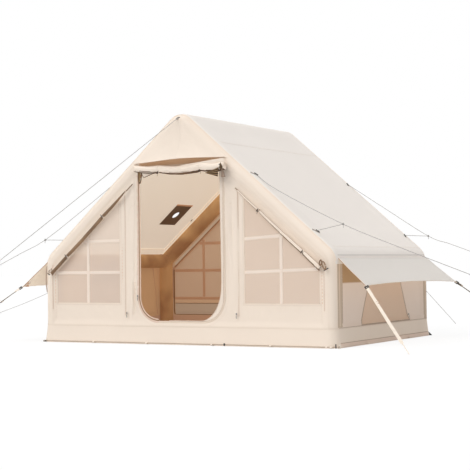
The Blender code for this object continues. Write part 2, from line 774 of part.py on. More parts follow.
def awning_hinge():
    """Awning seam: on the roof panel's first bend line, clear of it by half the awning's cloth."""
    turn = KNEE_TURN / BEND_STEPS
    return KNEE_CENTRE + radial(turn) * (KNEE_BEND + SKIN_OUTER + GAP + FABRIC / 2)


def awning_corner(sign, end):
    down = Vector((math.cos(AWNING_PITCH), 0.0, -math.sin(AWNING_PITCH)))
    corner = awning_hinge() + down * AWNING_LENGTH
    return Vector((sign * corner.x, OUTWARD[end] * AWNING_EDGE_HALF, corner.z))


def make_awnings(fabric):
    rows, columns = 4, 9
    hinge = awning_hinge()
    for side, sign in ACROSS.items():
        down = Vector((sign * math.cos(AWNING_PITCH), 0.0, -math.sin(AWNING_PITCH)))
        normal = Vector((sign * math.sin(AWNING_PITCH), 0.0, math.cos(AWNING_PITCH)))
        start = Vector((sign * hinge.x, 0.0, hinge.z)) + normal * (FABRIC / 2)
        grid = []
        for i in range(rows):
            out = i / (rows - 1)
            half = AWNING_HINGE_HALF + (AWNING_EDGE_HALF - AWNING_HINGE_HALF) * out
            row = []
            for j in range(columns):
                across = 2 * j / (columns - 1) - 1
                length = AWNING_LENGTH - AWNING_SCALLOP * (1 - across**2)
                row.append(start + down * (length * out) + Vector((0.0, half * across, 0.0)))
            grid.append(row)
        awning = sheet_solid(f"{side}_awning", grid, -normal * FABRIC, fabric)
        origin = Vector((sign * hinge.x, 0.0, hinge.z))
        awning.data.transform(Matrix.Translation(-origin))
        awning.location = origin


def strap_frame(side, end):
    """Where an awning's strap leaves its corner: along to its foot, and a face turned outwards."""
    sign = ACROSS[side]
    start = awning_corner(sign, end)
    foot = start + Vector((sign * STRAP_SPREAD_X, OUTWARD[end] * STRAP_SPREAD_Y, 0.0))
    foot.z = STRAP_FOOT_Z
    along = (foot - start).normalized()
    facing = Vector((sign * LOCK_FACING.x, -OUTWARD[end] * LOCK_FACING.y, 0.0))
    normal = (facing - along * facing.dot(along)).normalized()
    return frame_matrix(start, along.cross(normal), along, normal), (foot - start).length


def make_straps(webbing, plastic):
    for side in ACROSS:
        for end in OUTWARD:
            matrix, length = strap_frame(side, end)
            make_lock(f"{end}_{side}_ladder_lock", matrix, plastic)
            start = LOCK_GAP + LOCK_LENGTH + GAP
            narrow = length * STRAP_TAIL_SHARE
            wide = (STRAP_WIDTH / 2, STRAP_THICKNESS / 2)
            thin = (STRAP_TAIL_WIDTH / 2, STRAP_TAIL_THICKNESS / 2)
            sections = [
                (start, wide),
                (narrow - STRAP_WIDTH / 2, wide),
                (narrow, thin),
                (length, thin),
            ]
            rings = [
                [(-w, y, -t), (w, y, -t), (w, y, t), (-w, y, t)] for y, (w, t) in sections
            ]
            place(loft(f"{end}_{side}_awning_strap", rings, webbing), matrix)


def make_lock(name, matrix, plastic):
    half = LOCK_WIDTH / 2
    thick = LOCK_THICKNESS / 2
    lock = slab(name, (-half, LOCK_GAP, -thick), (half, LOCK_GAP + LOCK_LENGTH, thick), plastic)
    inner = half - LOCK_BAR
    for share in (0.32, 0.68):
        middle = LOCK_GAP + LOCK_LENGTH * share
        low, high = middle - LOCK_SLOT / 2, middle + LOCK_SLOT / 2
        cutter = slab("slot_cutter", (-inner, low, -OVERRUN), (inner, high, OVERRUN), plastic)
        place(cutter, matrix)
        boolean(lock, cutter, "DIFFERENCE")
    place(lock, matrix)


def catmull_rom(points, samples):
    """Evenly spread points on one smooth curve through a route's own points."""
    route = [Vector(p) for p in points]
    route = [route[0] * 2 - route[1]] + route + [route[-1] * 2 - route[-2]]
    fine = []
    for a, b, c, d in zip(route, route[1:], route[2:], route[3:]):
        for i in range(40):
            t = i / 40
            fine.append(
                0.5
                * (
                    b * 2
                    + (c - a) * t
                    + (a * 2 - b * 5 + c * 4 - d) * t**2
                    + (b * 3 - a - c * 3 + d) * t**3
                )
            )
    fine.append(route[-2])
    lengths = [0.0]
    for p, q in zip(fine, fine[1:]):
        lengths.append(lengths[-1] + (q - p).length)
    spread = []
    k = 0
    for i in range(samples):
        goal = lengths[-1] * i / (samples - 1)
        while k < len(fine) - 2 and lengths[k + 1] < goal:
            k += 1
        span = max(lengths[k + 1] - lengths[k], 1e-9)
        spread.append(fine[k].lerp(fine[k + 1], min(1.0, (goal - lengths[k]) / span)))
    return spread


def make_cord(name, route, samples, rope):
    curve = bpy.data.curves.new(name, "CURVE")
    curve.dimensions = "3D"
    curve.bevel_depth = GUY_DIAMETER / 2
    curve.bevel_resolution = GUY_RESOLUTION
    curve.use_fill_caps = True
    spline = curve.splines.new("POLY")
    points = catmull_rom(route, samples)
    spline.points.add(len(points) - 1)
    for place_on, point in zip(spline.points, points):
        place_on.co = (*point, 1.0)
    add_object(name, curve, rope)


# Each roof guy: its side and end of the tent, how far from the middle its seat and its branch's seat are
# as shares of the half width, and its way from its seat outwards, along the tent and up. The knot is the
# second point. A peg out of sight holds each line taut.
GUY_SEAT_SHARES = {
    "front_right_guy": (0.496, 0.901),
    "front_left_guy": (0.468, 0.922),
    "rear_right_guy": (0.499, 0.914),
    "rear_left_guy": (0.496, 0.914),
}
GUY_WAYS = {
    "front_right_guy": [
        (0.222, 0.010, -0.147),
        (0.826, 0.025, -0.446),
        (1.333, 0.005, -0.652),
        (1.905, -0.020, -0.872),
    ],
    "front_left_guy": [
        (0.429, 0.005, -0.272),
        (0.867, 0.025, -0.545),
        (1.166, 0.025, -0.669),
        (1.460, 0.025, -0.790),
    ],
    "rear_right_guy": [
        (0.378, 0.025, -0.243),
        (0.806, 0.045, -0.515),
        (1.018, 0.040, -0.591),
        (1.251, 0.035, -0.676),
    ],
    "rear_left_guy": [
        (0.400, 0.020, -0.262),
        (0.810, 0.035, -0.518),
        (2.328, -0.025, -1.081),
        (2.955, -0.065, -1.288),
    ],
}
APEX_WAYS = {"front": (-0.46, 1.857, -1.2445), "rear": (0.939, 2.161, -1.9605)}


def seated(surface, normal, toward):
    """The centre of a line's first end, just clear of the surface that its loop is sewn to."""
    along = (toward - surface).normalized()
    spread = math.sqrt(max(0.0, 1 - along.dot(normal) ** 2))
    return surface + normal * (GUY_DIAMETER / 2 * spread + GAP)


def roof_seat(across, outward, share):
    x = across * share * KNEE_X
    surface = Vector((x, outward * (ROOF_HALF - GUY_SEAT_EDGE), slope_height(x, SKIN_OUTER)))
    return surface, Vector((across * math.sin(ROOF_ANGLE), 0.0, math.cos(ROOF_ANGLE)))


def branch_end(knot, line, seat):
    """Where a branch stops, so that its end's edge is just clear of the main line."""
    back = (seat - knot).normalized()
    lean = back.angle(line)
    clear = GUY_DIAMETER / 2 * (1 + abs(math.cos(lean))) + 2 * GAP
    return knot + back * (clear / math.sin(lean))


def make_guys(rope):
    for end, way in APEX_WAYS.items():
        sign = OUTWARD[end]
        lean = 4 * FACET_HALF
        reach = (BEAM_RADIUS - APEX_SEAT_OFFSET * math.cos(lean)) / math.sin(lean)
        surface = Vector((0.0, sign * (FRAME_Y + reach), RIDGE_CENTRE + APEX_SEAT_OFFSET))
        normal = Vector((0.0, sign * math.sin(lean), math.cos(lean)))
        far = surface + Vector((way[0], sign * way[1], way[2]))
        make_cord(f"{end}_apex_guy", [seated(surface, normal, far), far], GUY_SAMPLES, rope)
    for name, ways in GUY_WAYS.items():
        end, side = name.split("_")[:2]
        across, outward = ACROSS[side], OUTWARD[end]
        share, branch_share = GUY_SEAT_SHARES[name]
        surface, normal = roof_seat(across, outward, share)
        route = [surface + Vector((across * x, outward * y, z)) for x, y, z in ways]
        make_cord(name, [seated(surface, normal, route[0]), *route], GUY_SAMPLES, rope)
        surface, normal = roof_seat(across, outward, branch_share)
        knot = route[1]
        start = seated(surface, normal, knot)
        stop = branch_end(knot, route[2] - route[0], start)
        make_cord(f"{name}_branch", [start, stop], BRANCH_SAMPLES, rope)


def slider_outline():
    """A zip slider seen from the front: its body above, its pull hanging below."""
    body = SLIDER_WIDTH / 2
    pull = PULL_WIDTH / 2
    half = SLIDER_LENGTH / 2
    return [
        (-pull, -half - PULL_LENGTH),
        (pull, -half - PULL_LENGTH),
        (pull, -half),
        (body, -half),
        (body, half - pull),
        (pull, half),
        (-pull, half),
        (-body, half - pull),
        (-body, -half),
        (-pull, -half),
    ]


def zip_slider(name, origin, along, normal, metal):
    """A slider on a zip: along is its way of travel, normal points off the cloth."""
    rings = [[(u, v, w) for u, v in slider_outline()] for w in (0.0, SLIDER_THICKNESS)]
    slider = loft(name, rings, metal)
    place(slider, frame_matrix(origin, along.cross(normal), along, normal))


def side_zip_line(sign):
    """The rear side of the arch, from its foot to its shoulder, on the outside of a side wall."""
    x = sign * (SIDE_OUTER_X + GAP)
    foot = Vector((x, ARCH_MIDDLE_Y + ARCH_FOOT, ARCH_SILL))
    shoulder = Vector((x, ARCH_MIDDLE_Y + ARCH_SHOULDER, ARCH_SHOULDER_HEIGHT))
    return foot, (shoulder - foot).normalized()


def make_sliders(metal):
    up = Vector((0.0, 0.0, 1.0))
    for end, sign in OUTWARD.items():
        x = sign * (DOOR_WIDTH / 2 + DOOR_ZIP_EDGE)
        origin = Vector((x, sign * (WALL_OUTER_Y + GAP), DOOR_SLIDER_HEIGHT))
        zip_slider(f"{end}_door_slider", origin, up, Vector((0.0, sign, 0.0)), metal)
    for side, sign in ACROSS.items():
        origin = Vector((sign * WINDOW_ZIP_X, -(WALL_OUTER_Y + GAP), WINDOW_SLIDER_HEIGHT))
        zip_slider(f"front_{side}_window_slider", origin, up, Vector((0.0, -1.0, 0.0)), metal)
        foot, along = side_zip_line(sign)
        origin = foot + along * (SIDE_SLIDER_START + SLIDER_LENGTH / 2)
        zip_slider(f"{side}_side_slider", origin, along, Vector((sign, 0.0, 0.0)), metal)


def build():
    clear_scene()
    cream = material("cream cloth", CREAM)
    shade = material("shaded cream cloth", CREAM_SHADE)
    roof = material("coated roof cloth", ROOF_GREY, roughness=0.7)
    net = material("insect net", NET)
    sleeve = material("amber beam sleeve", AMBER)
    film = material("air bladder film", CLEAR_FILM, roughness=0.3)
    floor = material("floor cloth", FLOOR_BROWN, roughness=0.6)
    stove = material("fireproof cloth", STOVE_GREY)
    rope = material("guy rope", ROPE_GREY)
    plastic = material("black nylon", BLACK, roughness=0.45)
    metal = material("zip metal", ZIP_METAL, roughness=0.35, metallic=1.0)
    make_air_frames(sleeve, film)
    make_long_beams(sleeve)
    make_valve(plastic)
    make_roof(roof, stove, cream)
    make_gable_walls(cream, net, shade)
    make_side_walls(shade, net)
    make_base(cream, floor)
    make_rolls(cream)
    make_hoods(cream)
    make_awnings(roof)
    make_straps(cream, plastic)
    make_guys(rope)
    make_sliders(metal)


build()
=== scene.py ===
"""Looks of the inflatable tent: cloth with folds and seams, air beams, rolls, zips, awnings and guy lines."""

import json
import math

import bpy
import numpy as np
from mathutils import Matrix, Vector
from mathutils.geometry import delaunay_2d_cdt


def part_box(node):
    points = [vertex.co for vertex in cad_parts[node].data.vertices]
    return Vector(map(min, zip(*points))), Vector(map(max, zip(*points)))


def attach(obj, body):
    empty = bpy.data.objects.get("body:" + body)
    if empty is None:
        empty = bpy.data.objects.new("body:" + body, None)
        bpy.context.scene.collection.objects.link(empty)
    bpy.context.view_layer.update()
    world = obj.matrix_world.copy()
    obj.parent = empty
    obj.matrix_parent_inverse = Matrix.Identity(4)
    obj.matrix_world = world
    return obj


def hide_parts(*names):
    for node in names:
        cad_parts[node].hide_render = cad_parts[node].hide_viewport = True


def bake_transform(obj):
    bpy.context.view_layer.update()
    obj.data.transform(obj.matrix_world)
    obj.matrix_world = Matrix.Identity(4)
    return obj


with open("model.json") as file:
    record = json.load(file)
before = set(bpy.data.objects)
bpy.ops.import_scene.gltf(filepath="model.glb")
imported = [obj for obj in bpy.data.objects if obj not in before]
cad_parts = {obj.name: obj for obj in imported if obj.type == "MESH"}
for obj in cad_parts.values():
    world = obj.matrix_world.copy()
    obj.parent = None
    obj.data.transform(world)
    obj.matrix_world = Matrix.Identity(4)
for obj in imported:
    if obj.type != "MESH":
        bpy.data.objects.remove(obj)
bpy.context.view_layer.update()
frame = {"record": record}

# Sizes of the solid model, in metres
RIDGE = 2.0
BEAM_R = 0.07
KNEE_X = 1.41
FRAME_Y = 0.93
KNEE_HEIGHT = 0.736
KNEE_BEND = 0.10
APEX_BEND = 0.085
SKIN = BEAM_R + 0.0033
RIDGE_CENTRE = RIDGE - SKIN
SKIRT = 0.16
BASE_X, BASE_Y = 1.5, 1.025
SIDE_X = 1.4833
WALL_Y = 1.0033

# The shown cloth, and how far apart stitches and zip teeth are
THICKNESS = 0.0022
STITCH_PITCH = 0.008
ROOF_STITCH_PITCH = 0.009
TOOTH_PITCH = 0.0042
SKIRT_STEP = 0.016

OUTWARD = {"front": -1, "rear": 1}
ACROSS = {"left": -1, "right": 1}


def roof_pitch():
    """Slope of the roof at which its line meets both bends without a corner."""
    angle = math.atan2(RIDGE_CENTRE - KNEE_HEIGHT, KNEE_X)
    for _ in range(30):
        lift = APEX_BEND * (1 / math.cos(angle) - 1)
        angle = math.atan2(RIDGE_CENTRE + lift - KNEE_HEIGHT, KNEE_X)
    return angle


# The beams' centre line: bends at the apex and the knees, with a straight slope and post between and below
PITCH = roof_pitch()
KNEE_TURN = math.pi / 2 - PITCH
SHARP = RIDGE_CENTRE + APEX_BEND * (1 / math.cos(PITCH) - 1)
KNEE_CENTRE = np.array([KNEE_X - KNEE_BEND, KNEE_HEIGHT - KNEE_BEND * math.tan(KNEE_TURN / 2)])
APEX_CENTRE = np.array([0.0, RIDGE_CENTRE - APEX_BEND])
SLOPE_TOP = APEX_CENTRE + APEX_BEND * np.array([math.sin(PITCH), math.cos(PITCH)])
SLOPE_END = KNEE_CENTRE + KNEE_BEND * np.array([math.sin(PITCH), math.cos(PITCH)])

# Lengths along that line, from the ridge to where each part of it starts
TO_SLOPE = APEX_BEND * PITCH
TO_KNEE = TO_SLOPE + float(np.hypot(*(SLOPE_END - SLOPE_TOP)))
TO_POST = TO_KNEE + KNEE_BEND * KNEE_TURN
TO_FOOT = TO_POST + KNEE_CENTRE[1] - 0.0035


def path(t):
    """Points and outward normals of the gable's centre line. t = 0 is the ridge, + runs down the right."""
    t = np.asarray(t, float)
    s = np.abs(t)
    a = np.select(
        [s < TO_SLOPE, s < TO_KNEE, s < TO_POST],
        [math.pi / 2 - s / APEX_BEND, math.pi / 2 - PITCH, KNEE_TURN - (s - TO_KNEE) / KNEE_BEND],
        0.0,
    )
    share = (s - TO_SLOPE) / (TO_KNEE - TO_SLOPE)
    x = np.select(
        [s < TO_SLOPE, s < TO_KNEE, s < TO_POST],
        [
            APEX_CENTRE[0] + APEX_BEND * np.cos(a),
            SLOPE_TOP[0] + (SLOPE_END[0] - SLOPE_TOP[0]) * share,
            KNEE_CENTRE[0] + KNEE_BEND * np.cos(a),
        ],
        KNEE_X,
    )
    z = np.select(
        [s < TO_SLOPE, s < TO_KNEE, s < TO_POST],
        [
            APEX_CENTRE[1] + APEX_BEND * np.sin(a),
            SLOPE_TOP[1] + (SLOPE_END[1] - SLOPE_TOP[1]) * share,
            KNEE_CENTRE[1] + KNEE_BEND * np.sin(a),
        ],
        KNEE_CENTRE[1] - (s - TO_POST),
    )
    sign = np.where(t < 0, -1.0, 1.0)
    return x * sign, z, np.cos(a) * sign, np.sin(a)


def path_offset(x, z):
    """Signed distance of gable points outside the beams' centre line."""
    x, z = np.abs(np.asarray(x, float)), np.asarray(z, float)
    slope = (z - SHARP) * math.cos(PITCH) + x * math.sin(PITCH)
    post = x - KNEE_X
    knee_angle = np.arctan2(z - KNEE_CENTRE[1], x - KNEE_CENTRE[0])
    in_knee = (knee_angle > 0) & (knee_angle < KNEE_TURN) & (x > KNEE_CENTRE[0])
    knee = np.hypot(x - KNEE_CENTRE[0], z - KNEE_CENTRE[1]) - KNEE_BEND
    in_apex = (z > APEX_CENTRE[1]) & (np.arctan2(x, np.maximum(z - APEX_CENTRE[1], 1e-9)) < PITCH)
    apex = np.hypot(x, z - APEX_CENTRE[1]) - APEX_BEND
    away = np.maximum(slope, post)
    return np.where(in_knee, knee, np.where(in_apex, apex, away))


def slope_height(x, offset):
    """Height of the roof's slope over x, at an offset outside the beams' centre line."""
    return SHARP + offset / math.cos(PITCH) - np.abs(x) * math.tan(PITCH)


def unit(vector):
    """A vector of length one."""
    vector = np.asarray(vector, float)
    return vector / np.linalg.norm(vector)


def unit_rows(vectors):
    """Rows of vectors, each of length one."""
    return vectors / np.linalg.norm(vectors, axis=1, keepdims=True)


def as_grids(u, v, h):
    """Three coordinates as arrays of one shape."""
    return np.broadcast_arrays(np.asarray(u, float), np.asarray(v, float), np.asarray(h, float))


def pairs(u, v):
    """Two grids of coordinates as rows of pairs."""
    return np.stack([u, v], -1).reshape(-1, 2)


def grid_of(u, v):
    """Two grids of coordinates, with u along the rows."""
    return np.meshgrid(u, v, indexing="ij")


def run_along(line):
    """The length from a line's first point to each of its points."""
    return np.concatenate([[0], np.cumsum(np.linalg.norm(np.diff(line, axis=0), axis=1))])


def stretches(stops, counts):
    """Rising numbers from stop to stop, with a count of them in each stretch."""
    return np.unique(np.concatenate([np.linspace(*ends) for ends in zip(stops, stops[1:], counts)]))


def closed(loop):
    """A loop's points with the first one again at the end."""
    return loop + [loop[0]]


def ring_points(centre, turns, radius, first, second, other=None):
    """Points round a centre. other is the radius along the second direction, where it differs."""
    other = radius if other is None else other
    return centre + np.outer(np.cos(turns) * radius, first) + np.outer(np.sin(turns) * other, second)


def raised(surface, flat, height):
    """Points at a height over a surface, above rows of its two coordinates."""
    return surface(flat[:, 0], flat[:, 1], height)


def layer(surface, start, sense=1):
    """A surface that starts at another height. sense -1 counts towards the other side."""
    return lambda u, v, h: surface(u, v, start + sense * h)


# Noise and folds, all from fixed seeds
def noise(u, v, seed, octaves=1):
    """Smooth value noise from -1 to 1 over two coordinates."""
    total, weight, reach = 0.0, 1.0, 0.0
    for k in range(octaves):
        table = np.random.default_rng(seed * 31 + k).uniform(-1, 1, (64, 64))
        p, q = u * 2**k, v * 2**k
        i, j = np.floor(p).astype(int), np.floor(q).astype(int)
        a, b = p - i, q - j
        a, b = a * a * (3 - 2 * a), b * b * (3 - 2 * b)
        i0, i1, j0, j1 = i % 64, (i + 1) % 64, j % 64, (j + 1) % 64
        low = table[i0, j0] * (1 - a) + table[i1, j0] * a
        high = table[i0, j1] * (1 - a) + table[i1, j1] * a
        total = total + weight * (low * (1 - b) + high * b)
        reach += weight
        weight /= 2
    return total / reach


def smooth(x):
    """A soft step from 0 to 1."""
    x = np.clip(x, 0.0, 1.0)
    return x * x * (3 - 2 * x)


def creases(u, v, folds):
    """Sum of soft ridges: each fold is (u0, v0, u1, v1, width, height)."""
    total = np.zeros_like(np.asarray(u, float) + np.asarray(v, float))
    for u0, v0, u1, v1, width, height in folds:
        du, dv = u1 - u0, v1 - v0
        length = math.hypot(du, dv)
        along = ((u - u0) * du + (v - v0) * dv) / length**2
        across = ((u - u0) * dv - (v - v0) * du) / length
        ends = smooth((along + 0.15) / 0.3) * smooth((1.15 - along) / 0.3)
        bend = across + 0.25 * width * np.sin(along * 5 + u0 * 9)
        total += height * ends * np.exp(-((bend / width) ** 2))
    return total


# Building meshes
class Piece:
    """Collects parts of one cloth or moulded piece and makes one mesh with a UV map in metres."""

    def __init__(self, *finishes):
        self.finishes = finishes
        self.points, self.faces, self.count, self.bands = [], [], 0, 0.0

    def slot_of(self, finish):
        """The number of a finish on this piece. Numbers, and one number for each face, stay as they are."""
        return self.finishes.index(finish) if isinstance(finish, bpy.types.Material) else finish

    def add(self, points, faces, uv=None, slot=0, wrap=None):
        """Adds faces between points. wrap is the width at which the UV map starts again, on a tube."""
        points = np.asarray(points, float).reshape(-1, 3)
        faces = np.asarray(faces, int)
        if uv is None:
            uv = points[:, [0, 2]]
        uv = np.asarray(uv, float)[faces]
        if wrap:
            first = uv[:, :, 0]
            low = first < first.max(1, keepdims=True) - wrap / 2
            uv[:, :, 0] = first + wrap * low
        slots = np.broadcast_to(np.asarray(slot), (len(faces),))
        self.points.append(points)
        self.faces.append((faces + self.count, uv, slots))
        self.count += len(points)

    def build(self, name, sharp=40.0):
        """Makes one object of what was added. sharp is the angle in degrees from which an edge is hard."""
        name = name.replace(" ", "_")
        mesh = bpy.data.meshes.new(name)
        points = np.concatenate(self.points)
        mesh.vertices.add(len(points))
        mesh.vertices.foreach_set("co", points.astype(np.float32).ravel())
        index = np.concatenate([f.ravel() for f, _, _ in self.faces])
        sizes = np.concatenate([np.full(len(f), f.shape[1]) for f, _, _ in self.faces])
        starts = np.concatenate([[0], np.cumsum(sizes)[:-1]])
        mesh.loops.add(len(index))
        mesh.loops.foreach_set("vertex_index", index.astype(np.int32))
        mesh.polygons.add(len(sizes))
        mesh.polygons.foreach_set("loop_start", starts.astype(np.int32))
        slots = np.concatenate([s for _, _, s in self.faces])
        mesh.polygons.foreach_set("material_index", slots.astype(np.int32))
        mesh.update(calc_edges=True)
        layer = mesh.uv_layers.new(name="UVMap")
        flat = np.concatenate([uv.reshape(-1, 2) for _, uv, _ in self.faces])
        layer.data.foreach_set("uv", flat.astype(np.float32).ravel())
        mesh.shade_smooth()
        mesh.set_sharp_from_angle(angle=math.radians(sharp))
        mesh.validate()
        made = bpy.data.objects.new(name, mesh)
        bpy.context.scene.collection.objects.link(made)
        for finish in self.finishes:
            mesh.materials.append(finish)
        return made


def place(obj, body, slot, *nodes):
    """Gives a piece its body, and hides the nodes that it stands for. slot is not used."""
    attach(obj, body)
    if nodes:
        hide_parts(*nodes)
    return obj


def joint(name):
    """One joint of the part, as the record gives it."""
    return next(j for j in frame["record"]["behaviour"]["joints"] if j["name"] == name)


def flat_area(points, faces):
    """Area of a flat pattern made of triangles."""
    a, b, c = (points[faces[:, k]] for k in range(3))
    return float(np.abs(np.cross(b - a, c - a)).sum() / 2)


def grid_faces(rows, columns, closed=False):
    """Four-sided faces between rows of points, also from the last column to the first if closed."""
    i, j = grid_of(np.arange(rows - 1), np.arange(columns if closed else columns - 1))
    i, j = i.ravel(), j.ravel()
    k = (j + 1) % columns
    return np.stack([i * columns + j, i * columns + k, (i + 1) * columns + k, (i + 1) * columns + j], 1)


def rim_edges(faces):
    """Directed edges that only one face uses."""
    edges = np.concatenate(
        [np.stack([faces[:, k], faces[:, (k + 1) % faces.shape[1]]], 1) for k in range(faces.shape[1])]
    )
    key = np.sort(edges, 1)
    code = key[:, 0].astype(np.int64) * (key.max() + 1) + key[:, 1]
    _, index, counts = np.unique(code, return_index=True, return_counts=True)
    return edges[index[counts == 1]]


def solid_sheet(piece, outer, inner, faces, uv, slots=(0, 0, 0)):
    """A sheet with an outer and an inner side and closed edges. Outer faces point away from inner.
    slots are the finishes of the outer side, the inner side and the edge."""
    count = len(outer)
    slots = [piece.slot_of(slot) for slot in slots]
    a, b, c = outer[faces[:, 0]], outer[faces[:, 1]], outer[faces[:, 2]]
    facing = np.einsum("ij,ij->", np.cross(b - a, c - a), (outer - inner)[faces[:, 0]])
    if facing < 0:
        faces = faces[:, ::-1]
    edges = rim_edges(faces)
    rim = np.stack([edges[:, 1], edges[:, 0], edges[:, 0] + count, edges[:, 1] + count], 1)
    uv = np.asarray(uv, float)
    both = np.concatenate([uv, uv])
    points = np.concatenate([outer, inner])
    piece.add(points, faces, both, slots[0])
    first = piece.count - len(points)
    back = faces[:, ::-1] + count
    piece.faces.append((back + first, both[back], np.full(len(faces), slots[1])))
    piece.faces.append((rim + first, both[rim], np.full(len(rim), slots[2])))


def sheet_on(piece, surface, flat, faces, high, low, slots=(0, 0, 0)):
    """A sheet on a surface between two heights, over rows of its two coordinates."""
    solid_sheet(piece, raised(surface, flat, high), raised(surface, flat, low), faces, flat, slots)


def inside(points, loop):
    """Which 2-D points lie in a closed loop."""
    x, y = points[:, 0], points[:, 1]
    result = np.zeros(len(points), bool)
    for (x0, y0), (x1, y1) in zip(loop, np.roll(loop, -1, 0)):
        cross = (y0 > y) != (y1 > y)
        at = x0 + (y - y0) * (x1 - x0) / (y1 - y0 if y1 != y0 else 1e-12)
        result ^= cross & (x < at)
    return result


def even_loop(loop, step):
    """A closed loop with points no further apart than step."""
    out = []
    loop = np.asarray(loop, float)
    for p, q in zip(loop, np.roll(loop, -1, 0)):
        n = max(1, int(math.ceil(np.hypot(*(q - p)) / step)))
        out += [p + (q - p) * i / n for i in range(n)]
    return np.array(out)


def even_line(line, step):
    """A line with evenly spread points no further apart than step."""
    line = np.asarray(line, float)
    lengths = run_along(line)
    n = max(1, int(math.ceil(lengths[-1] / step)))
    at = np.linspace(0, lengths[-1], n + 1)
    return np.stack([np.interp(at, lengths, line[:, k]) for k in range(line.shape[1])], 1)


def flat_mesh(outline, holes, step):
    """Points and triangles that fill an outline around its holes, with points every step."""
    loops = [even_loop(outline, step)] + [even_loop(h, step) for h in holes]
    points, edges = [], []
    for loop in loops:
        first = len(points)
        points += loop.tolist()
        edges += [(first + i, first + (i + 1) % len(loop)) for i in range(len(loop))]
    low, high = loops[0].min(0), loops[0].max(0)
    xs, ys = np.arange(low[0], high[0], step), np.arange(low[1], high[1], step * 0.866)
    grid = np.array([(x + (step / 2 if k % 2 else 0), y) for k, y in enumerate(ys) for x in xs])
    keep = inside(grid, loops[0])
    for loop in loops[1:]:
        keep &= ~inside(grid, loop)
    for loop in loops:
        near = np.full(len(grid), 1e9)
        for p in loop:
            near = np.minimum(near, np.hypot(grid[:, 0] - p[0], grid[:, 1] - p[1]))
        keep &= near > step * 0.55
    points += grid[keep].tolist()
    done = delaunay_2d_cdt([Vector(p) for p in points], edges, [], 0, 1e-6)
    places = np.array([v[:] for v in done[0]])
    faces = np.array([f for f in done[2] if len(f) == 3], int)
    middle = places[faces].mean(1)
    keep = inside(middle, loops[0])
    for loop in loops[1:]:
        keep &= ~inside(middle, loop)
    faces = faces[keep]
    used = np.unique(faces)
    back = np.full(len(places), -1)
    back[used] = np.arange(len(used))
    return places[used], back[faces]


def strip(piece, surface, line, width, height, slot=0, step=0.02, sink=0.0008, round_share=0.25):
    """A sewn band on a surface. surface(u, v, h) gives points at height h over it, line is its middle."""
    piece.bands += width * sum(math.dist(a, b) for a, b in zip(line, line[1:]))
    line = even_line(line, step)
    tangent = unit_rows(np.gradient(line, axis=0))
    side = np.stack([tangent[:, 1], -tangent[:, 0]], 1)
    half, edge = width / 2, width / 2 * (1 - round_share)
    section = [
        (-half, -sink), (-half, height * 0.5), (-edge, height), (0, height * 1.08), (edge, height),
        (half, height * 0.5), (half, -sink),
    ]
    run = run_along(line)
    rings, uvs = [], []
    for w, h in section:
        at = line + side * w
        rings.append(raised(surface, at, h))
        uvs.append(np.stack([np.full(len(at), w), run], 1))
    points = np.stack(rings, 1)
    uv = np.stack(uvs, 1).reshape(-1, 2)
    n, m = len(line), len(section)
    tube(piece, points.reshape(-1, 3), n, m, uv, slot)


def tube(piece, points, rings, around, uv, slot=0, wrap=None, end_slot=None):
    """Rings of points joined into one closed body, with its faces turned outwards."""
    slot, end_slot = piece.slot_of(slot), piece.slot_of(end_slot)
    faces = grid_faces(rings, around, closed=True)
    a = points[faces[:, 0]]
    normal = np.cross(points[faces[:, 1]] - a, points[faces[:, 3]] - a)
    middle = points.reshape(rings, around, 3).mean(1)
    out = a - middle[faces[:, 0] // around]
    flip = np.einsum("ij,ij->", normal, out) < 0
    if flip:
        faces = faces[:, ::-1]
    piece.add(points, faces, uv, slot, wrap)
    base = piece.count - len(points)
    paint = end_slot if end_slot is not None else int(np.max(slot))
    for ring in (np.arange(around), np.arange(around)[::-1] + (rings - 1) * around):
        order = ring if flip else ring[::-1]
        piece.faces.append((order[None, :] + base, np.asarray(uv)[order][None], np.array([paint])))


def lathe(piece, profile, origin, axis, around=32, slot=0):
    """A turned shape: profile is (radius, height) along axis, from one end to the other, closed."""
    axis = unit(axis)
    other = unit(np.cross(axis, [0.3, 0.5, 0.8]))
    third = np.cross(axis, other)
    turns = np.arange(around) * 2 * math.pi / around
    rings = [ring_points(np.asarray(origin) + axis * h, turns, r, other, third) for r, h in profile]
    points = np.concatenate(rings)
    uv = np.stack([np.tile(turns * 0.01, len(profile)), np.repeat([h for _, h in profile], around)], 1)
    tube(piece, points, len(profile), around, uv, slot, wrap=2 * math.pi * 0.01)


def frames_along(points):
    """Tangents and two side vectors that turn as little as possible along a line of points."""
    tangent = unit_rows(np.gradient(points, axis=0))
    side = np.cross(tangent[0], [0.13, 0.21, 0.97])
    sides = []
    for t in tangent:
        side = unit(side - t * (side @ t))
        sides.append(side)
    sides = np.array(sides)
    return tangent, sides, np.cross(tangent, sides)


def round_tube(piece, points, radius, around=12, slot=0, shape=None, side=None, end_slot=None):
    """A tube along points. radius is a number or one per point, shape(turn, run) scales it."""
    points = np.asarray(points, float)
    tangent, first, second = frames_along(points)
    if side is not None:
        first = unit_rows(np.asarray(side) - tangent * (tangent @ np.asarray(side))[:, None])
        second = np.cross(tangent, first)
    run = run_along(points)
    turns = np.arange(around) * 2 * math.pi / around
    radius = np.broadcast_to(radius, (len(points),))[:, None]
    turn, along = np.meshgrid(turns, run)
    r = radius * (shape(turn, along) if shape else 1.0)
    ring = points[:, None, :] + first[:, None, :] * (r * np.cos(turn))[..., None]
    ring = ring + second[:, None, :] * (r * np.sin(turn))[..., None]
    scale = float(np.mean(radius))
    uv = np.stack([turn * scale, along], 2).reshape(-1, 2)
    if callable(slot):
        slot = slot(turn[:-1], along[:-1]).ravel()
    tube(
        piece, ring.reshape(-1, 3), len(points), around, uv, slot, wrap=2 * math.pi * scale, end_slot=end_slot
    )


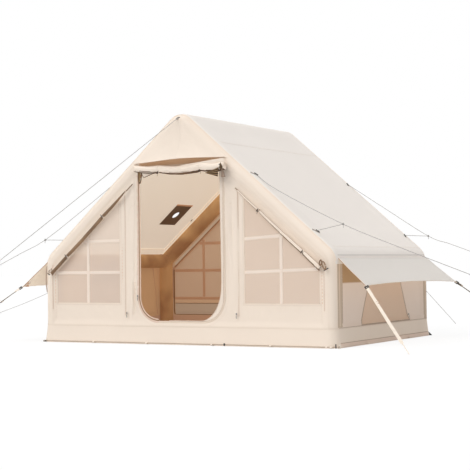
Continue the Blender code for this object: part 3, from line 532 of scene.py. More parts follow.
def box(piece, centre, axes, size, slot=0, bevel=0.12):
    """A block with softened edges. axes are its three directions, size its full lengths."""
    x, y, z = (unit(a) for a in axes)
    sx, sy, sz = (s / 2 for s in size)
    cut = bevel * 2 * min(sx, sy, sz)
    rings = []
    for depth, shrink in ((-sz, cut), (-sz + cut, 0), (sz - cut, 0), (sz, cut)):
        a, b = sx - shrink, sy - shrink
        half_turn = [(-a, -b + cut), (-a, b - cut), (-a + cut, b), (a - cut, b)]
        corner = half_turn + [(-p, -q) for p, q in half_turn]
        rings += [np.asarray(centre) + x * p + y * q + z * depth for p, q in corner]
    points = np.array(rings)
    uv = np.stack([(points - np.asarray(centre)) @ x, (points - np.asarray(centre)) @ y], 1)
    tube(piece, points, 4, 8, uv, slot)


# Materials
def node(tree, kind, inputs=None, **values):
    """A node with its settings. inputs gives sockets to link from, or values, by name or number."""
    made = tree.nodes.new(kind)
    for key, value in values.items():
        if key in made.inputs:
            made.inputs[key].default_value = value
        else:
            setattr(made, key, value)
    for key, value in (inputs or {}).items():
        if isinstance(value, bpy.types.NodeSocket):
            tree.links.new(value, made.inputs[key])
        else:
            made.inputs[key].default_value = value
    return made


def maths(tree, operation, *inputs, clamp=False):
    """One sum on sockets or numbers."""
    made = node(tree, "ShaderNodeMath", dict(enumerate(inputs)), operation=operation, use_clamp=clamp)
    return made.outputs[0]


def clouds(tree, scale, detail, **values):
    """Noise in the piece's own coordinates."""
    where = node(tree, "ShaderNodeTexCoord")
    links = {"Vector": where.outputs["Object"]}
    return node(tree, "ShaderNodeTexNoise", links, Scale=scale, Detail=detail, **values).outputs[0]


def weave_group():
    """Woven cloth: over-and-under threads from the UV map, with slow changes of tone and a little wear."""
    group = bpy.data.node_groups.new("Woven cloth", "ShaderNodeTree")
    face = group.interface
    for name, kind, value in (
        ("Color", "NodeSocketColor", (0.8, 0.7, 0.6, 1)),
        ("Threads per metre", "NodeSocketFloat", 900.0),
        ("Tone change", "NodeSocketFloat", 0.04),
        ("Roughness", "NodeSocketFloat", 0.85),
    ):
        face.new_socket(name, in_out="INPUT", socket_type=kind).default_value = value
    for name, kind in (("Color", "Color"), ("Roughness", "Float"), ("Height", "Float")):
        face.new_socket(name, in_out="OUTPUT", socket_type=f"NodeSocket{kind}")
    given = group.nodes.new("NodeGroupInput").outputs
    uv = node(group, "ShaderNodeUVMap", uv_map="UVMap")
    links = {0: uv.outputs[0], "Scale": given["Threads per metre"]}
    scaled = node(group, "ShaderNodeVectorMath", links, operation="SCALE")
    split = node(group, "ShaderNodeSeparateXYZ", {0: scaled.outputs[0]})
    cross = maths(group, "MULTIPLY", *(maths(group, "SINE", split.outputs[axis]) for axis in (0, 1)))
    centred = maths(group, "SUBTRACT", clouds(group, 3.1, 5.0, Roughness=0.6), 0.5)
    thread = maths(group, "MULTIPLY_ADD", cross, 0.12, centred)
    tone = maths(group, "MULTIPLY_ADD", thread, given["Tone change"], 1.0)
    shade = node(group, "ShaderNodeVectorMath", {0: given["Color"], "Scale": tone}, operation="SCALE")
    rough = maths(group, "MULTIPLY_ADD", centred, 0.10, given["Roughness"], clamp=True)
    node(group, "NodeGroupOutput", {"Color": shade.outputs[0], "Roughness": rough, "Height": cross})
    return group


WEAVE = weave_group()


def finish_base(name, roughness, metallic=0.0, glow=0.0):
    """A material with its node tree and shader."""
    made = bpy.data.materials.new(name)
    made.use_nodes = True
    tree = made.node_tree
    shader = tree.nodes["Principled BSDF"]
    shader.inputs["Roughness"].default_value = roughness
    shader.inputs["Metallic"].default_value = metallic
    shader.inputs["Emission Strength"].default_value = glow
    return made, tree, shader


def blend_colours(tree, share, first, second):
    """A colour between two, by a share."""
    mix = node(tree, "ShaderNodeMix", {0: share, 6: (*first, 1), 7: (*second, 1)}, data_type="RGBA")
    return mix.outputs[2]


def spread(tree, value, **limits):
    """A value stretched between limits, such as from_min or to_max."""
    links = {key.replace("_", " ").title(): limit for key, limit in limits.items()}
    return node(tree, "ShaderNodeMapRange", {0: value, **links}).outputs[0]


def relief(tree, shader, height, strength, distance):
    """A bump from a height, in metres."""
    bump = node(tree, "ShaderNodeBump", {"Height": height}, Strength=strength, Distance=distance)
    tree.links.new(bump.outputs[0], shader.inputs["Normal"])


def cloth(
    name, colour, threads=900.0, tone=0.05, roughness=0.85, glow=0.0, bump=0.25, alpha=1.0,
    patches=None, above=None,
):
    """A woven cloth. glow stands for the daylight that shines through it, seen from inside.
    patches is a second colour in slow clouds, above is a height and the colour of a painted shadow over it
    between the posts."""
    made, tree, shader = finish_base(name, roughness, glow=glow)
    shader.inputs["Specular IOR Level"].default_value = 0.25
    shader.inputs["Alpha"].default_value = alpha
    base = (*colour, 1)
    if patches:
        share = spread(tree, clouds(tree, 2.6, 2.0), from_min=0.42, from_max=0.60)
        base = blend_colours(tree, share, colour, patches)
    # painted shadow: over the height, between the posts, the colour turns to the second one
    elif above:
        level, second = above
        where = node(tree, "ShaderNodeTexCoord")
        split = node(tree, "ShaderNodeSeparateXYZ", {0: where.outputs["Object"]}).outputs
        between_posts = maths(tree, "LESS_THAN", maths(tree, "ABSOLUTE", split[1]), 0.868)
        height = maths(tree, "MULTIPLY", split[2], between_posts)
        share = spread(tree, height, from_min=level - 0.006, from_max=level + 0.006)
        base = blend_colours(tree, share, colour, second)
    links = {
        "Color": base, "Threads per metre": threads * math.pi, "Tone change": tone, "Roughness": roughness
    }
    weave = node(tree, "ShaderNodeGroup", links, node_tree=WEAVE).outputs
    tree.links.new(weave["Color"], shader.inputs["Base Color"])
    tree.links.new(weave["Roughness"], shader.inputs["Roughness"])
    if glow:
        tree.links.new(weave["Color"], shader.inputs["Emission Color"])
    relief(tree, shader, weave["Height"], bump, 0.0003)
    return made


def moulded(name, colour, roughness=0.4):
    """Moulded nylon with a fine grain."""
    made, tree, shader = finish_base(name, roughness)
    grain = clouds(tree, 900.0, 3.0)
    dark, light = ([c * share for c in colour] for share in (0.8, 1.3))
    tree.links.new(blend_colours(tree, grain, dark, light), shader.inputs["Base Color"])
    relief(tree, shader, grain, 0.15, 0.0002)
    return made


def metal(name, colour, roughness=0.35):
    """Plated metal, rubbed unevenly."""
    made, tree, shader = finish_base(name, roughness, metallic=1.0)
    shader.inputs["Base Color"].default_value = (*colour, 1)
    rubbed = spread(tree, clouds(tree, 220.0, 4.0), to_min=roughness - 0.12, to_max=roughness + 0.15)
    tree.links.new(rubbed, shader.inputs["Roughness"])
    return made


CREAM = cloth("Cream cloth", (0.90, 0.785, 0.675), tone=0.05)
# painted shade on the side walls next to the posts
WALL_END_SHADE = cloth("Side wall painted shade", (0.62, 0.495, 0.385))
# The inside finishes (CREAM_IN, WALL_SIDE_IN, ROOF_IN, AMBER, NET_IN, AWNING_IN, FLOOR_WALL) are darker
# copies of the outer cloths, painted as the shade inside the tent; every glow is painted light for the
# daylight through the cloth.
CREAM_IN = cloth("Cream cloth inside", (0.64, 0.46, 0.30), glow=0.29)
# the colour above 0.524 m is the awning's shadow, painted on the side wall
WALL_SIDE = cloth("Side wall cloth", (0.865, 0.735, 0.64), above=(0.524, (0.50, 0.325, 0.18)))
WALL_SIDE_IN = cloth("Side wall cloth inside", (0.66, 0.45, 0.26), glow=0.24)
ROOF = cloth("Roof cloth", (0.865, 0.81, 0.76), tone=0.04, roughness=0.7)
AWNING_TOP = cloth("Awning cloth", (0.745, 0.705, 0.66), tone=0.04, roughness=0.7)
ROOF_IN = cloth("Roof cloth inside", (0.73, 0.69, 0.60), glow=0.56)
AMBER = cloth("Beam sleeve inside", (0.60, 0.37, 0.18), glow=0.18, patches=(0.40, 0.22, 0.11), tone=0.10)
TAPE = cloth("Seam tape", (0.87, 0.755, 0.645), threads=1300.0, tone=0.05)
TAPE_WHITE = cloth("Window band", (0.91, 0.79, 0.69), threads=1100.0, tone=0.04)
TAPE_IN = cloth("Inner tape", (0.66, 0.57, 0.45), threads=1100.0, glow=0.28)
BINDING_IN = cloth("Inner binding", (0.60, 0.37, 0.235), threads=1100.0, glow=0.19)
# dark edge tape; inside the gable it also stands as a painted shadow strip
DARK_EDGE_AND_SHADOW = cloth("Dark edge tape and painted shadow", (0.34, 0.20, 0.11), threads=1100.0, glow=0.08)
BAND_IN = cloth("Inner band", (0.60, 0.51, 0.40), threads=1100.0, glow=0.22)
PIPING_IN = cloth("Ceiling piping", (0.90, 0.80, 0.66), threads=1300.0, glow=0.35)
ZIP_TAPE = cloth("Zip tape", (0.80, 0.67, 0.55), threads=1500.0)
DOOR_FACING = cloth("Door facing", (0.80, 0.62, 0.51), threads=1200.0)
# painted shade in the gap between the hood and the door's roll
HOOD_GAP_SHADE = cloth("Painted shade under the hood", (0.80, 0.57, 0.375), threads=1200.0)
SEAM_BROWN = cloth("Brown seam tape", (0.52, 0.40, 0.32), threads=1300.0)
# painted shade along the roof's fold over the eave beam
FOLD_SHADE_GREY = cloth("Roof fold painted shade", (0.73, 0.68, 0.64), threads=1300.0)
THREAD = cloth("Sewing thread", (0.76, 0.64, 0.53), threads=2500.0)
NET = cloth("Window net", (0.88, 0.75, 0.645), threads=700.0, tone=0.05, alpha=0.72)
NET_CLEAR = cloth("Window net back", (0.88, 0.75, 0.645), threads=700.0, tone=0.05, alpha=0.08)
NET_IN = cloth("Window net inside", (0.62, 0.46, 0.32), threads=700.0, tone=0.06, glow=0.27, alpha=0.94)
# the colour above 0.524 m is the awning's shadow, painted on the net
NET_SIDE = cloth(
    "Side net", (0.82, 0.62, 0.475), threads=700.0, alpha=0.95, above=(0.524, (0.56, 0.35, 0.19))
)
FLOOR = cloth("Floor cloth", (0.42, 0.26, 0.17), threads=1100.0, roughness=0.55, glow=0.15)
STOVE = cloth("Fireproof cloth", (0.235, 0.19, 0.15), threads=1200.0, tone=0.4)
RUST = cloth("Jack edge tape", (0.62, 0.38, 0.24), threads=1300.0, glow=0.2)
WEBBING = cloth("Strap webbing", (0.88, 0.78, 0.67), threads=1800.0, bump=0.5)
ROPE = cloth("Guy rope", (0.44, 0.42, 0.40), threads=2500.0, tone=0.3, bump=0.5)
WEBBING_GREY = cloth("Loop webbing", (0.34, 0.29, 0.25), threads=1800.0, bump=0.5)
# painted shade on the undersides of the straps
STRAP_UNDERSIDE_SHADE = cloth("Strap underside", (0.20, 0.165, 0.13), threads=1800.0, bump=0.5)
# painted shadow: the ends of the window rolls, the hollows and backs of the pleats, one fold of each window's
# gathered end, and the inner side of the door's hanging corner
SHADOW_CLOTH = cloth("Painted shadow cloth", (0.07, 0.045, 0.03), tone=0.3)
# painted shade on the undersides of the window rolls; the same brown colours their gathered ends, loops and
# the dark line below the left ones
LINING_AND_UNDERSIDE_SHADE = cloth("Roll lining and painted underside shade", (0.36, 0.23, 0.14), tone=0.35, patches=(0.22, 0.14, 0.09))
# painted highlight on the ridges of the door's pleats; the same tan colours a loop beside the door
FOLD_TAN = cloth("Tan fold and painted highlight", (0.42, 0.28, 0.15), tone=0.35)
# the dark olive of the door's larger pleats and its knot, painted as shade
FOLD_OLIVE = cloth("Dark fold in painted shade", (0.125, 0.080, 0.045), tone=0.35)
# painted shade on the underside of the door's roll; the same brown colours the door's small pleats, its
# hanging corner's edge and a loop
DOOR_LINING_AND_UNDERSIDE_SHADE = cloth("Door lining and painted underside shade", (0.27, 0.165, 0.10), tone=0.35, patches=(0.16, 0.10, 0.065))
AWNING_IN = cloth("Awning cloth inside", (0.74, 0.655, 0.545), glow=0.38)
FLOOR_WALL = cloth("Floor edge cloth", (0.62, 0.41, 0.28), glow=0.22)
HEM = cloth("Hem tape", (0.50, 0.39, 0.30), threads=1300.0)
HEM_SIDE = cloth("Side hem", (0.84, 0.68, 0.58), threads=1300.0)
BLACK = moulded("Black nylon", (0.02, 0.019, 0.018))
COIL = moulded("Zip coil", (0.50, 0.37, 0.27))
WOOD = moulded("Toggle", (0.05, 0.035, 0.025), 0.5)
ZIP_METAL = metal("Zip metal", (0.30, 0.28, 0.26))


# Stitches and zip teeth are copies of one small shape along sewn lines
def stitch_shape(name, length, width, height, finish):
    """A small rounded bar, the shape that stitches and zip teeth are copies of."""
    piece = Piece(finish)
    rows = [(-0.5, 0.4), (0.0, 1.0), (0.5, 0.4)]
    turns = (np.arange(4) + 0.5) * math.pi / 2
    points, uv = [], []
    for share, size in rows:
        for a in turns:
            points.append((length * share, width / 2 * size * math.cos(a), height * size * math.sin(a)))
            uv.append((a * width, length * share))
    tube(piece, np.array(points), len(rows), 4, np.array(uv))
    made = piece.build(name)
    made.hide_render = True
    made.hide_viewport = True
    return made


def copies_tree():
    """Copies of an object on the points of a mesh, turned along the points' own directions."""
    tree = bpy.data.node_groups.new("Copies on seams", "GeometryNodeTree")
    face = tree.interface
    for kind, name in (("Geometry", "Geometry"), ("Object", "Shape"), ("Material", "Material")):
        face.new_socket(name, in_out="INPUT", socket_type=f"NodeSocket{kind}")
    face.new_socket("Size change", in_out="INPUT", socket_type="NodeSocketFloat").default_value = 0.1
    face.new_socket("Seed", in_out="INPUT", socket_type="NodeSocketInt").default_value = 7
    face.new_socket("Geometry", in_out="OUTPUT", socket_type="NodeSocketGeometry")
    given = tree.nodes.new("NodeGroupInput").outputs
    info = node(tree, "GeometryNodeObjectInfo", {"Object": given["Shape"]}, transform_space="ORIGINAL")
    points = node(tree, "GeometryNodeMeshToPoints", {"Mesh": given["Geometry"]})
    kind = "GeometryNodeInputNamedAttribute"
    ways = [node(tree, kind, data_type="FLOAT_VECTOR", Name=name).outputs[0] for name in ("along", "out_of")]
    turn = node(
        tree, "FunctionNodeAxesToRotation", dict(enumerate(ways)), primary_axis="X", secondary_axis="Z"
    )
    limits = {
        2 + k: maths(tree, kind, 1.0, given["Size change"]) for k, kind in enumerate(("SUBTRACT", "ADD"))
    }
    size = node(tree, "FunctionNodeRandomValue", {**limits, "Seed": given["Seed"]}, data_type="FLOAT")
    links = {"Points": points.outputs[0], "Instance": info.outputs["Geometry"]}
    links.update({"Rotation": turn.outputs[0], "Scale": size.outputs[1]})
    copies = node(tree, "GeometryNodeInstanceOnPoints", links)
    real = node(tree, "GeometryNodeRealizeInstances", {0: copies.outputs[0]})
    paint = node(
        tree, "GeometryNodeSetMaterial", {"Geometry": real.outputs[0], "Material": given["Material"]}
    )
    node(tree, "NodeGroupOutput", {0: paint.outputs[0]})
    return tree


COPIES = copies_tree()
STITCH = stitch_shape("stitch shape", 0.0052, 0.0013, 0.0007, THREAD)
TOOTH = stitch_shape("tooth shape", 0.0044, 0.0024, 0.0013, COIL)


class Sewing:
    """Collects the places of stitches or teeth, then makes one object of them."""

    def __init__(self):
        self.places, self.along, self.out = [], [], []

    def run(self, surface, line, pitch, lift, side=0.0, crosswise=False):
        """Adds places along a line, at a lift over its surface and moved to one side."""
        line = even_line(line, pitch)
        tangent = unit_rows(np.gradient(line, axis=0))
        line = line + np.stack([tangent[:, 1], -tangent[:, 0]], 1) * side
        here = raised(surface, line, lift)
        over = raised(surface, line, lift + 0.01)
        ahead = raised(surface, line + tangent * 0.001, lift)
        along, out = ahead - here, over - here
        if crosswise:
            along = np.cross(along, out)
        self.places.append(here)
        self.along.append(unit_rows(along))
        self.out.append(unit_rows(out))

    def build(self, name, shape, finish):
        """Makes one object of copies of a shape at the places."""
        name = name.replace(" ", "_")
        mesh = bpy.data.meshes.new(name + " places")
        mesh.from_pydata(np.concatenate(self.places).tolist(), [], [])
        for key, values in (("along", self.along), ("out_of", self.out)):
            attribute = mesh.attributes.new(key, "FLOAT_VECTOR", "POINT")
            attribute.data.foreach_set("vector", np.concatenate(values).astype(np.float32).ravel())
        source = bpy.data.objects.new(name + " places", mesh)
        bpy.context.scene.collection.objects.link(source)
        step = source.modifiers.new("copies", "NODES")
        step.node_group = COPIES
        given = {"Shape": shape, "Material": finish}
        for item in COPIES.interface.items_tree:
            if item.item_type == "SOCKET" and item.in_out == "INPUT" and item.name in given:
                step[item.identifier] = given[item.name]
        view = bpy.context.evaluated_depsgraph_get()
        view.update()
        made_mesh = bpy.data.meshes.new_from_object(source.evaluated_get(view))
        made = bpy.data.objects.new(name, made_mesh)
        bpy.context.scene.collection.objects.link(made)
        bpy.data.objects.remove(source)
        if not len(made_mesh.materials):
            made_mesh.materials.append(finish)
        return made


SEWN = {name: Sewing() for name in ("front", "rear", "roof", "sides", "skirt")}
TEETH = Sewing()


def teeth(surface, line, lift):
    """Zip teeth along a line, each across it."""
    TEETH.run(surface, line, TOOTH_PITCH, lift, crosswise=True)


# The gable walls and everything sewn to them
def gable_surface(end):
    """Points on a gable wall at (x, z) and height h over its cloth, with the wall's folds."""
    sign = OUTWARD[end]
    rng = np.random.default_rng(11 if end == "front" else 12)
    folds = []
    for side in (-1, 1):
        for _ in range(13):
            x = side * rng.uniform(0.455, 0.61)
            z = rng.uniform(0.22, 1.0)
            high = min(z + rng.uniform(0.3, 0.7), 1.40)
            end_x, width = x + rng.uniform(-0.012, 0.012), rng.uniform(0.008, 0.016)
            folds.append((x, z, end_x, high, width, rng.choice((-1, 1)) * rng.uniform(0.003, 0.0065)))
        for k in range(5):
            reach = side * (0.455 + 0.022 * k)
            folds.append((side * 0.452, 1.49, reach, 1.25 - 0.05 * k, 0.006, 0.0045 if k % 2 else -0.0045))
        for _ in range(10):
            x = side * rng.uniform(0.62, 1.36)
            z = rng.uniform(0.19, 0.33)
            end_x, high = x + rng.uniform(-0.05, 0.05), z + rng.uniform(0.04, 0.13)
            folds.append((x, z, end_x, high, rng.uniform(0.01, 0.022), rng.uniform(-0.0035, 0.0035)))
    for _ in range(12):
        x = rng.uniform(-0.4, 0.4)
        folds.append((x, 0.165, x + rng.uniform(-0.02, 0.02), 0.2, 0.012, rng.uniform(-0.0018, 0.0018)))

    def surface(x, z, h):
        x, z, h = as_grids(x, z, h)
        off = path_offset(x, z)
        back = 0.012 * smooth((-0.022 - off) / 0.035)
        inner = smooth((-0.05 - off) / 0.12)
        wave = 0.0035 * inner * noise(x * 2.3 + 5, z * 1.9, 3, 2)
        wave += 0.0012 * noise(x * 9, z * 7, 4, 2) * smooth((0.02 - off) / 0.03)
        pucker = (
            0.0016 * np.sin(z * 230 + 3 * noise(x * 6, z * 6, 9))
            * np.exp(-(((np.abs(x) - 0.45) / 0.014) ** 2)) * (z < 1.5)
        )
        relief = -back + wave + creases(x, z, folds) + pucker
        relief += np.where(z < SKIRT + 0.05, -relief * smooth((SKIRT + 0.05 - z) / 0.05), 0.0)
        y = WALL_Y - 0.001 + np.minimum(relief, 0.0016) + h
        return np.stack([x, sign * y, z], -1)

    return surface


def arc(cx, cy, r, a0, a1, n):
    """Points on a circle's arc from angle a0 to a1, in n steps."""
    a = np.linspace(a0, a1, n + 1)
    return [(cx + r * math.cos(t), cy + r * math.sin(t)) for t in a]


# The doorway and the windows: half width, heights, corners and distance to the roof's slope
DOOR_HALF, DOOR_SILL, DOOR_TOP = 0.43, 0.205, 1.49
DOOR_CORNER, DOOR_TOP_CORNER = 0.20, 0.03
WINDOW_INNER, WINDOW_OUTER, WINDOW_SILL, WINDOW_SLOPE = 0.635, 1.34, 0.355, -0.115


def door_loop(inset=0.0, steps=10):
    """The doorway's outline with round lower corners, made smaller by inset."""
    half, low, high = DOOR_HALF - inset, DOOR_SILL + inset, DOOR_TOP - inset
    wide, small, q = DOOR_CORNER - inset, DOOR_TOP_CORNER - inset * 0.5, math.pi / 2
    right = arc(half - wide, low + wide, wide, -q, 0, steps) + arc(half - small, high - small, small, 0, q, 4)
    top_left = arc(-half + small, high - small, small, q, 2 * q, 4)
    return right + top_left + arc(-half + wide, low + wide, wide, 2 * q, 3 * q, steps)


def window_loop(sign, inset=0.0):
    """A window's outline, cut to the roof's slope, made smaller by inset."""
    inner, outer, sill = WINDOW_INNER + inset, WINDOW_OUTER - inset, WINDOW_SILL + inset
    high, low = (float(slope_height(x, WINDOW_SLOPE - inset)) for x in (inner, outer))
    return [(sign * x, z) for x, z in ((inner, sill), (outer, sill), (outer, low), (inner, high))]


def gable_outline():
    """The gable wall's outline from one foot over the ridge to the other."""
    half = ((TO_SLOPE, 3), (TO_KNEE, 12), (TO_POST, 3), (TO_FOOT, 0))
    stops = [(-TO_FOOT, 3), (-TO_POST, 12), (-TO_KNEE, 3), (-TO_SLOPE, 15), *half]
    t = np.concatenate([np.linspace(a, b, count) for (a, count), (b, _) in zip(stops, stops[1:])])
    x, z, nx, nz = path(t)
    # the cloth ends a little outside the beams' centre line
    x, z = x + nx * 0.006, z + nz * 0.006
    keep = z > SKIRT
    loop = list(zip(x[keep], z[keep]))
    loop = [(loop[0][0], SKIRT - 0.004)] + loop + [(loop[-1][0], SKIRT - 0.004)]
    return [p for i, p in enumerate(loop) if i == 0 or math.dist(p, loop[i - 1]) > 1e-4]


SURFACES = {end: gable_surface(end) for end in OUTWARD}


def make_gable(end):
    """A gable wall with its sewn edges, zips and inner tapes, and its two windows."""
    surface = SURFACES[end]
    holes = [door_loop()] + [window_loop(side) for side in (-1, 1)]
    points, faces = flat_mesh(gable_outline(), holes, 0.016)
    wall = Piece(
        CREAM, CREAM_IN, TAPE, ZIP_TAPE, DOOR_FACING, BINDING_IN, TAPE_IN, DARK_EDGE_AND_SHADOW, BAND_IN, HOOD_GAP_SHADE
    )
    sheet_on(wall, surface, points, faces, 0.0, -THICKNESS, (CREAM, CREAM_IN, CREAM))
    within = layer(surface, -THICKNESS, -1)
    for side in (-1, 1):
        # the bound edge of the window opening and the zips of its cover
        strip(wall, surface, closed(window_loop(side, -0.006)), 0.020, 0.0012, TAPE)
        for inset in (-0.013, 0.0):
            SEWN[end].run(surface, closed(window_loop(side, inset)), STITCH_PITCH, 0.0016)
        for x, low, high in ((0.578, 0.25, 1.31), (1.382, 0.30, 0.70)):
            line = [(side * x, low), (side * x, high)]
            strip(wall, surface, line, 0.024, 0.0008, TAPE)
            strip(wall, surface, line, 0.0060, 0.0016, DOOR_FACING)
            teeth(surface, line, 0.0022)
        # the binding and the light tape that show on the inner side
        strip(wall, within, closed(window_loop(side, -0.014)), 0.026, 0.0014, BINDING_IN)
        for start, offset, wide, height, finish in (
            (0.55, -0.080, 0.026, 0.0016, TAPE_IN), (0.60, -0.0985, 0.007, 0.0022, DARK_EDGE_AND_SHADOW)
        ):
            line = [(side * x, float(slope_height(x, offset))) for x in (start, 1.335)]
            strip(wall, within, line, wide, height, finish)
        # painted shadow: a dark strip on the inner side, between the post and the window
        strip(wall, within, [(side * 1.350, 0.17), (side * 1.350, 0.64)], 0.014, 0.0024, DARK_EDGE_AND_SHADOW)
        if end == "rear":
            # the light band low on the wall, between two dark seams
            band = pairs(*grid_of(side * np.linspace(0.465, 1.336, 74), np.linspace(0.173, 0.287, 11)))
            sheet_on(wall, within, band, grid_faces(74, 11), 0.0018, 0.0006, (BAND_IN, BAND_IN, BAND_IN))
            wall.bands += 0.871 * 0.114
            for z in (0.289, 0.172):
                strip(wall, within, [(side * 0.465, z), (side * 1.336, z)], 0.007, 0.0026, DARK_EDGE_AND_SHADOW)
        # the sewn line where the wall meets the beam
        x, z, nx, nz = path(np.linspace(TO_SLOPE + 0.35, TO_POST + 0.5, 60))
        line = np.stack([side * (x - nx * 0.058), z - nz * 0.058], 1)
        strip(wall, surface, line, 0.010, 0.0011, CREAM)
        SEWN[end].run(surface, line, STITCH_PITCH, 0.0015)
    strip(wall, surface, closed(door_loop(-0.012)), 0.014, 0.0014, ZIP_TAPE)
    # painted shade: two brown bands on the wall, in the gap between the hood and the door's roll
    for z, reach in ((1.577, 0.41), (1.606, 0.35)):
        strip(wall, surface, [(-reach, z), (reach, z)], 0.034, 0.0010, HOOD_GAP_SHADE)
    teeth(surface, closed(door_loop(-0.001)), 0.0022)
    if end == "front":
        # the flap inside the right edge of the doorway, and the edge tapes on its left
        a = np.linspace(-math.pi / 2, 0, 14)
        rim = [(-0.12, 0.2045), *zip(0.23 + 0.2 * np.cos(a), 0.4045 + 0.2 * np.sin(a))]
        rim += [(0.43, z) for z in np.linspace(0.5, 1.488, 24)]
        edge = [(-0.12, 0.2065), *zip(0.202 + 0.208 * np.cos(a), 0.5065 + 0.3 * np.sin(a))]
        edge += [(0.414 - 0.010 * (z - 0.5), z) for z in np.linspace(0.54, 1.488, 24)]
        rim, edge = np.array(rim), np.array(edge)
        flap = rim[:, None] + (edge - rim)[:, None] * np.linspace(0, 1, 5)[None, :, None]
        sheet_on(
            wall, surface, flap.reshape(-1, 2), grid_faces(len(rim), 5), 0.0012, -0.0012,
            (CREAM, CREAM_IN, TAPE),
        )
        round_tube(wall, raised(surface, edge, 0.001), 0.0026, 8, TAPE)
        for inset, wide, finish in (
            (-0.011, 0.018, DOOR_FACING), (0.0035, 0.009, DARK_EDGE_AND_SHADOW), (0.0125, 0.009, DOOR_FACING)
        ):
            line = [(-0.43 + inset, 1.485)] + arc(-0.23, 0.405, 0.2 - inset, math.pi, 1.5 * math.pi, 12)
            strip(wall, surface, line, wide, 0.0016, finish)
    for inset in (-0.016, -0.045):
        SEWN[end].run(surface, closed(door_loop(inset)), STITCH_PITCH, 0.0014)
    made = wall.build(f"{end} gable cloth")
    place(made, "tent", "cream_cloth", f"{end}_gable_wall")
    flat_area(points, faces) + wall.bands
    for name, side in ACROSS.items():
        make_window(end, name, side)


def make_window(end, name, side):
    """A window's net with its sewn cross strips."""
    surface = SURFACES[end]
    points, faces = flat_mesh(window_loop(side, -0.003), [], 0.035)
    sag = 0.00075 * noise(points[:, 0] * 5, points[:, 1] * 5, 21)
    inner_net = NET_CLEAR if end == "front" else NET_IN
    window = Piece(NET, TAPE_WHITE, inner_net, BINDING_IN)
    sheet_on(window, surface, points, faces, sag - 0.0008, sag - 0.0018, (NET, inner_net, NET))
    within = layer(surface, -0.0020, -1)
    bands = []
    for z in (0.630, 0.910):
        reach = min(1.337, float((SHARP - 0.118 / math.cos(PITCH) - z) / math.tan(PITCH)))
        tilt = 0.011 if side > 0 else 0.0
        bands.append(([(side * 0.64, z - tilt), (side * reach, z + tilt)], 0.0012))
    upright = 0.985
    top = float(slope_height(upright, -0.119))
    bands.append(([(side * upright, 0.358), (side * upright, top)], 0.0015))
    for line, height in bands:
        strip(window, surface, line, 0.029, height, TAPE_WHITE)
        strip(window, within, line, 0.030, height, BINDING_IN)
        for w in (-0.012, 0.012):
            SEWN[end].run(surface, line, STITCH_PITCH, height + 0.0003, side=w)
    made = window.build(f"{end} {name} window net")
    place(made, "tent", "insect_net", f"{end}_{name}_window")
    flat_area(points, faces)


def make_rear_door():
    """The closed door in the rear wall."""
    surface = SURFACES["rear"]
    points, faces = flat_mesh(door_loop(0.001), [], 0.02)
    sag = 0.003 * noise(points[:, 0] * 3, points[:, 1] * 2, 23, 2)
    door = Piece(CREAM, CREAM_IN, TAPE)
    sheet_on(door, surface, points, faces, sag - 0.0005, sag - 0.0025, (CREAM, CREAM_IN, CREAM))
    strip(door, surface, [(0.0, 0.23), (0.0, 1.46)], 0.014, 0.003, TAPE)
    made = door.build("rear door cloth")
    place(made, "tent", "shaded_cloth", "rear_door_panel")
    flat_area(points, faces)


# Beams
def bend_folds(t, turn, inner_side):
    """Gathers on the inner side of the knees and the apex."""
    total = 0.0
    knee = TO_KNEE + 0.04
    for centre, reach, height in ((0.0, 0.13, 0.0035), (knee, 0.10, 0.004), (-knee, 0.10, 0.004)):
        near = np.exp(-(((t - centre) / reach) ** 2))
        total = total + height * near * inner_side * np.sin(t * 2 * math.pi / 0.024 + 1.3 * np.sin(turn * 3))
    return total


def make_frame_sleeve(end):
    """The sleeve of one gable's beam, with gathers at its bends and seams across it."""
    sign = OUTWARD[end]
    t = np.append(np.arange(-TO_FOOT, TO_FOOT, 0.0075), TO_FOOT)
    around = 48
    turn = np.arange(around) * 2 * math.pi / around
    tt, aa = grid_of(t, turn)
    x, z, nx, nz = path(tt)
    inward = smooth((-np.cos(aa) - 0.1) / 0.6)
    r = BEAM_R + 0.0004 + bend_folds(tt, aa, inward) * 0.8 + 0.0007 * noise(tt * 7, aa * 2.5, 31, 2)
    band = np.exp(-((tt - np.round(tt / 0.62) * 0.62) / 0.004) ** 2) * 0.0012
    r = np.minimum(r + band, BEAM_R + 0.0016 + 0.002 * inward)
    # cos is outwards from the path, sin is outwards from the tent
    points = np.stack(
        [x + nx * r * np.cos(aa), sign * (FRAME_Y + r * np.sin(aa)), z + nz * r * np.cos(aa)], -1
    )
    uv = pairs(aa * BEAM_R, tt)
    sleeve = Piece(CREAM, AMBER)
    faces = grid_faces(len(t), around, closed=True)
    mid = (aa + math.pi / around).ravel()[faces[:, 0]]
    seen_inside = (np.sin(mid) < 0.25) & (np.cos(mid) < 0.9)
    flip = end == "front"
    order = faces[:, ::-1] if flip else faces
    sleeve.add(points.reshape(-1, 3), order, uv, seen_inside.astype(int), wrap=2 * math.pi * BEAM_R)
    for first in (True, False):
        ring = np.arange(around) + (0 if first else (len(t) - 1) * around)
        cap = ring[::-1] if first != flip else ring
        sleeve.faces.append((cap[None, :], uv[cap][None], np.array([1])))
    made = sleeve.build(f"{end} frame sleeve cloth")
    place(made, "tent", "beam_sleeve", f"{end}_frame_sleeve", f"{end}_frame_bladder")


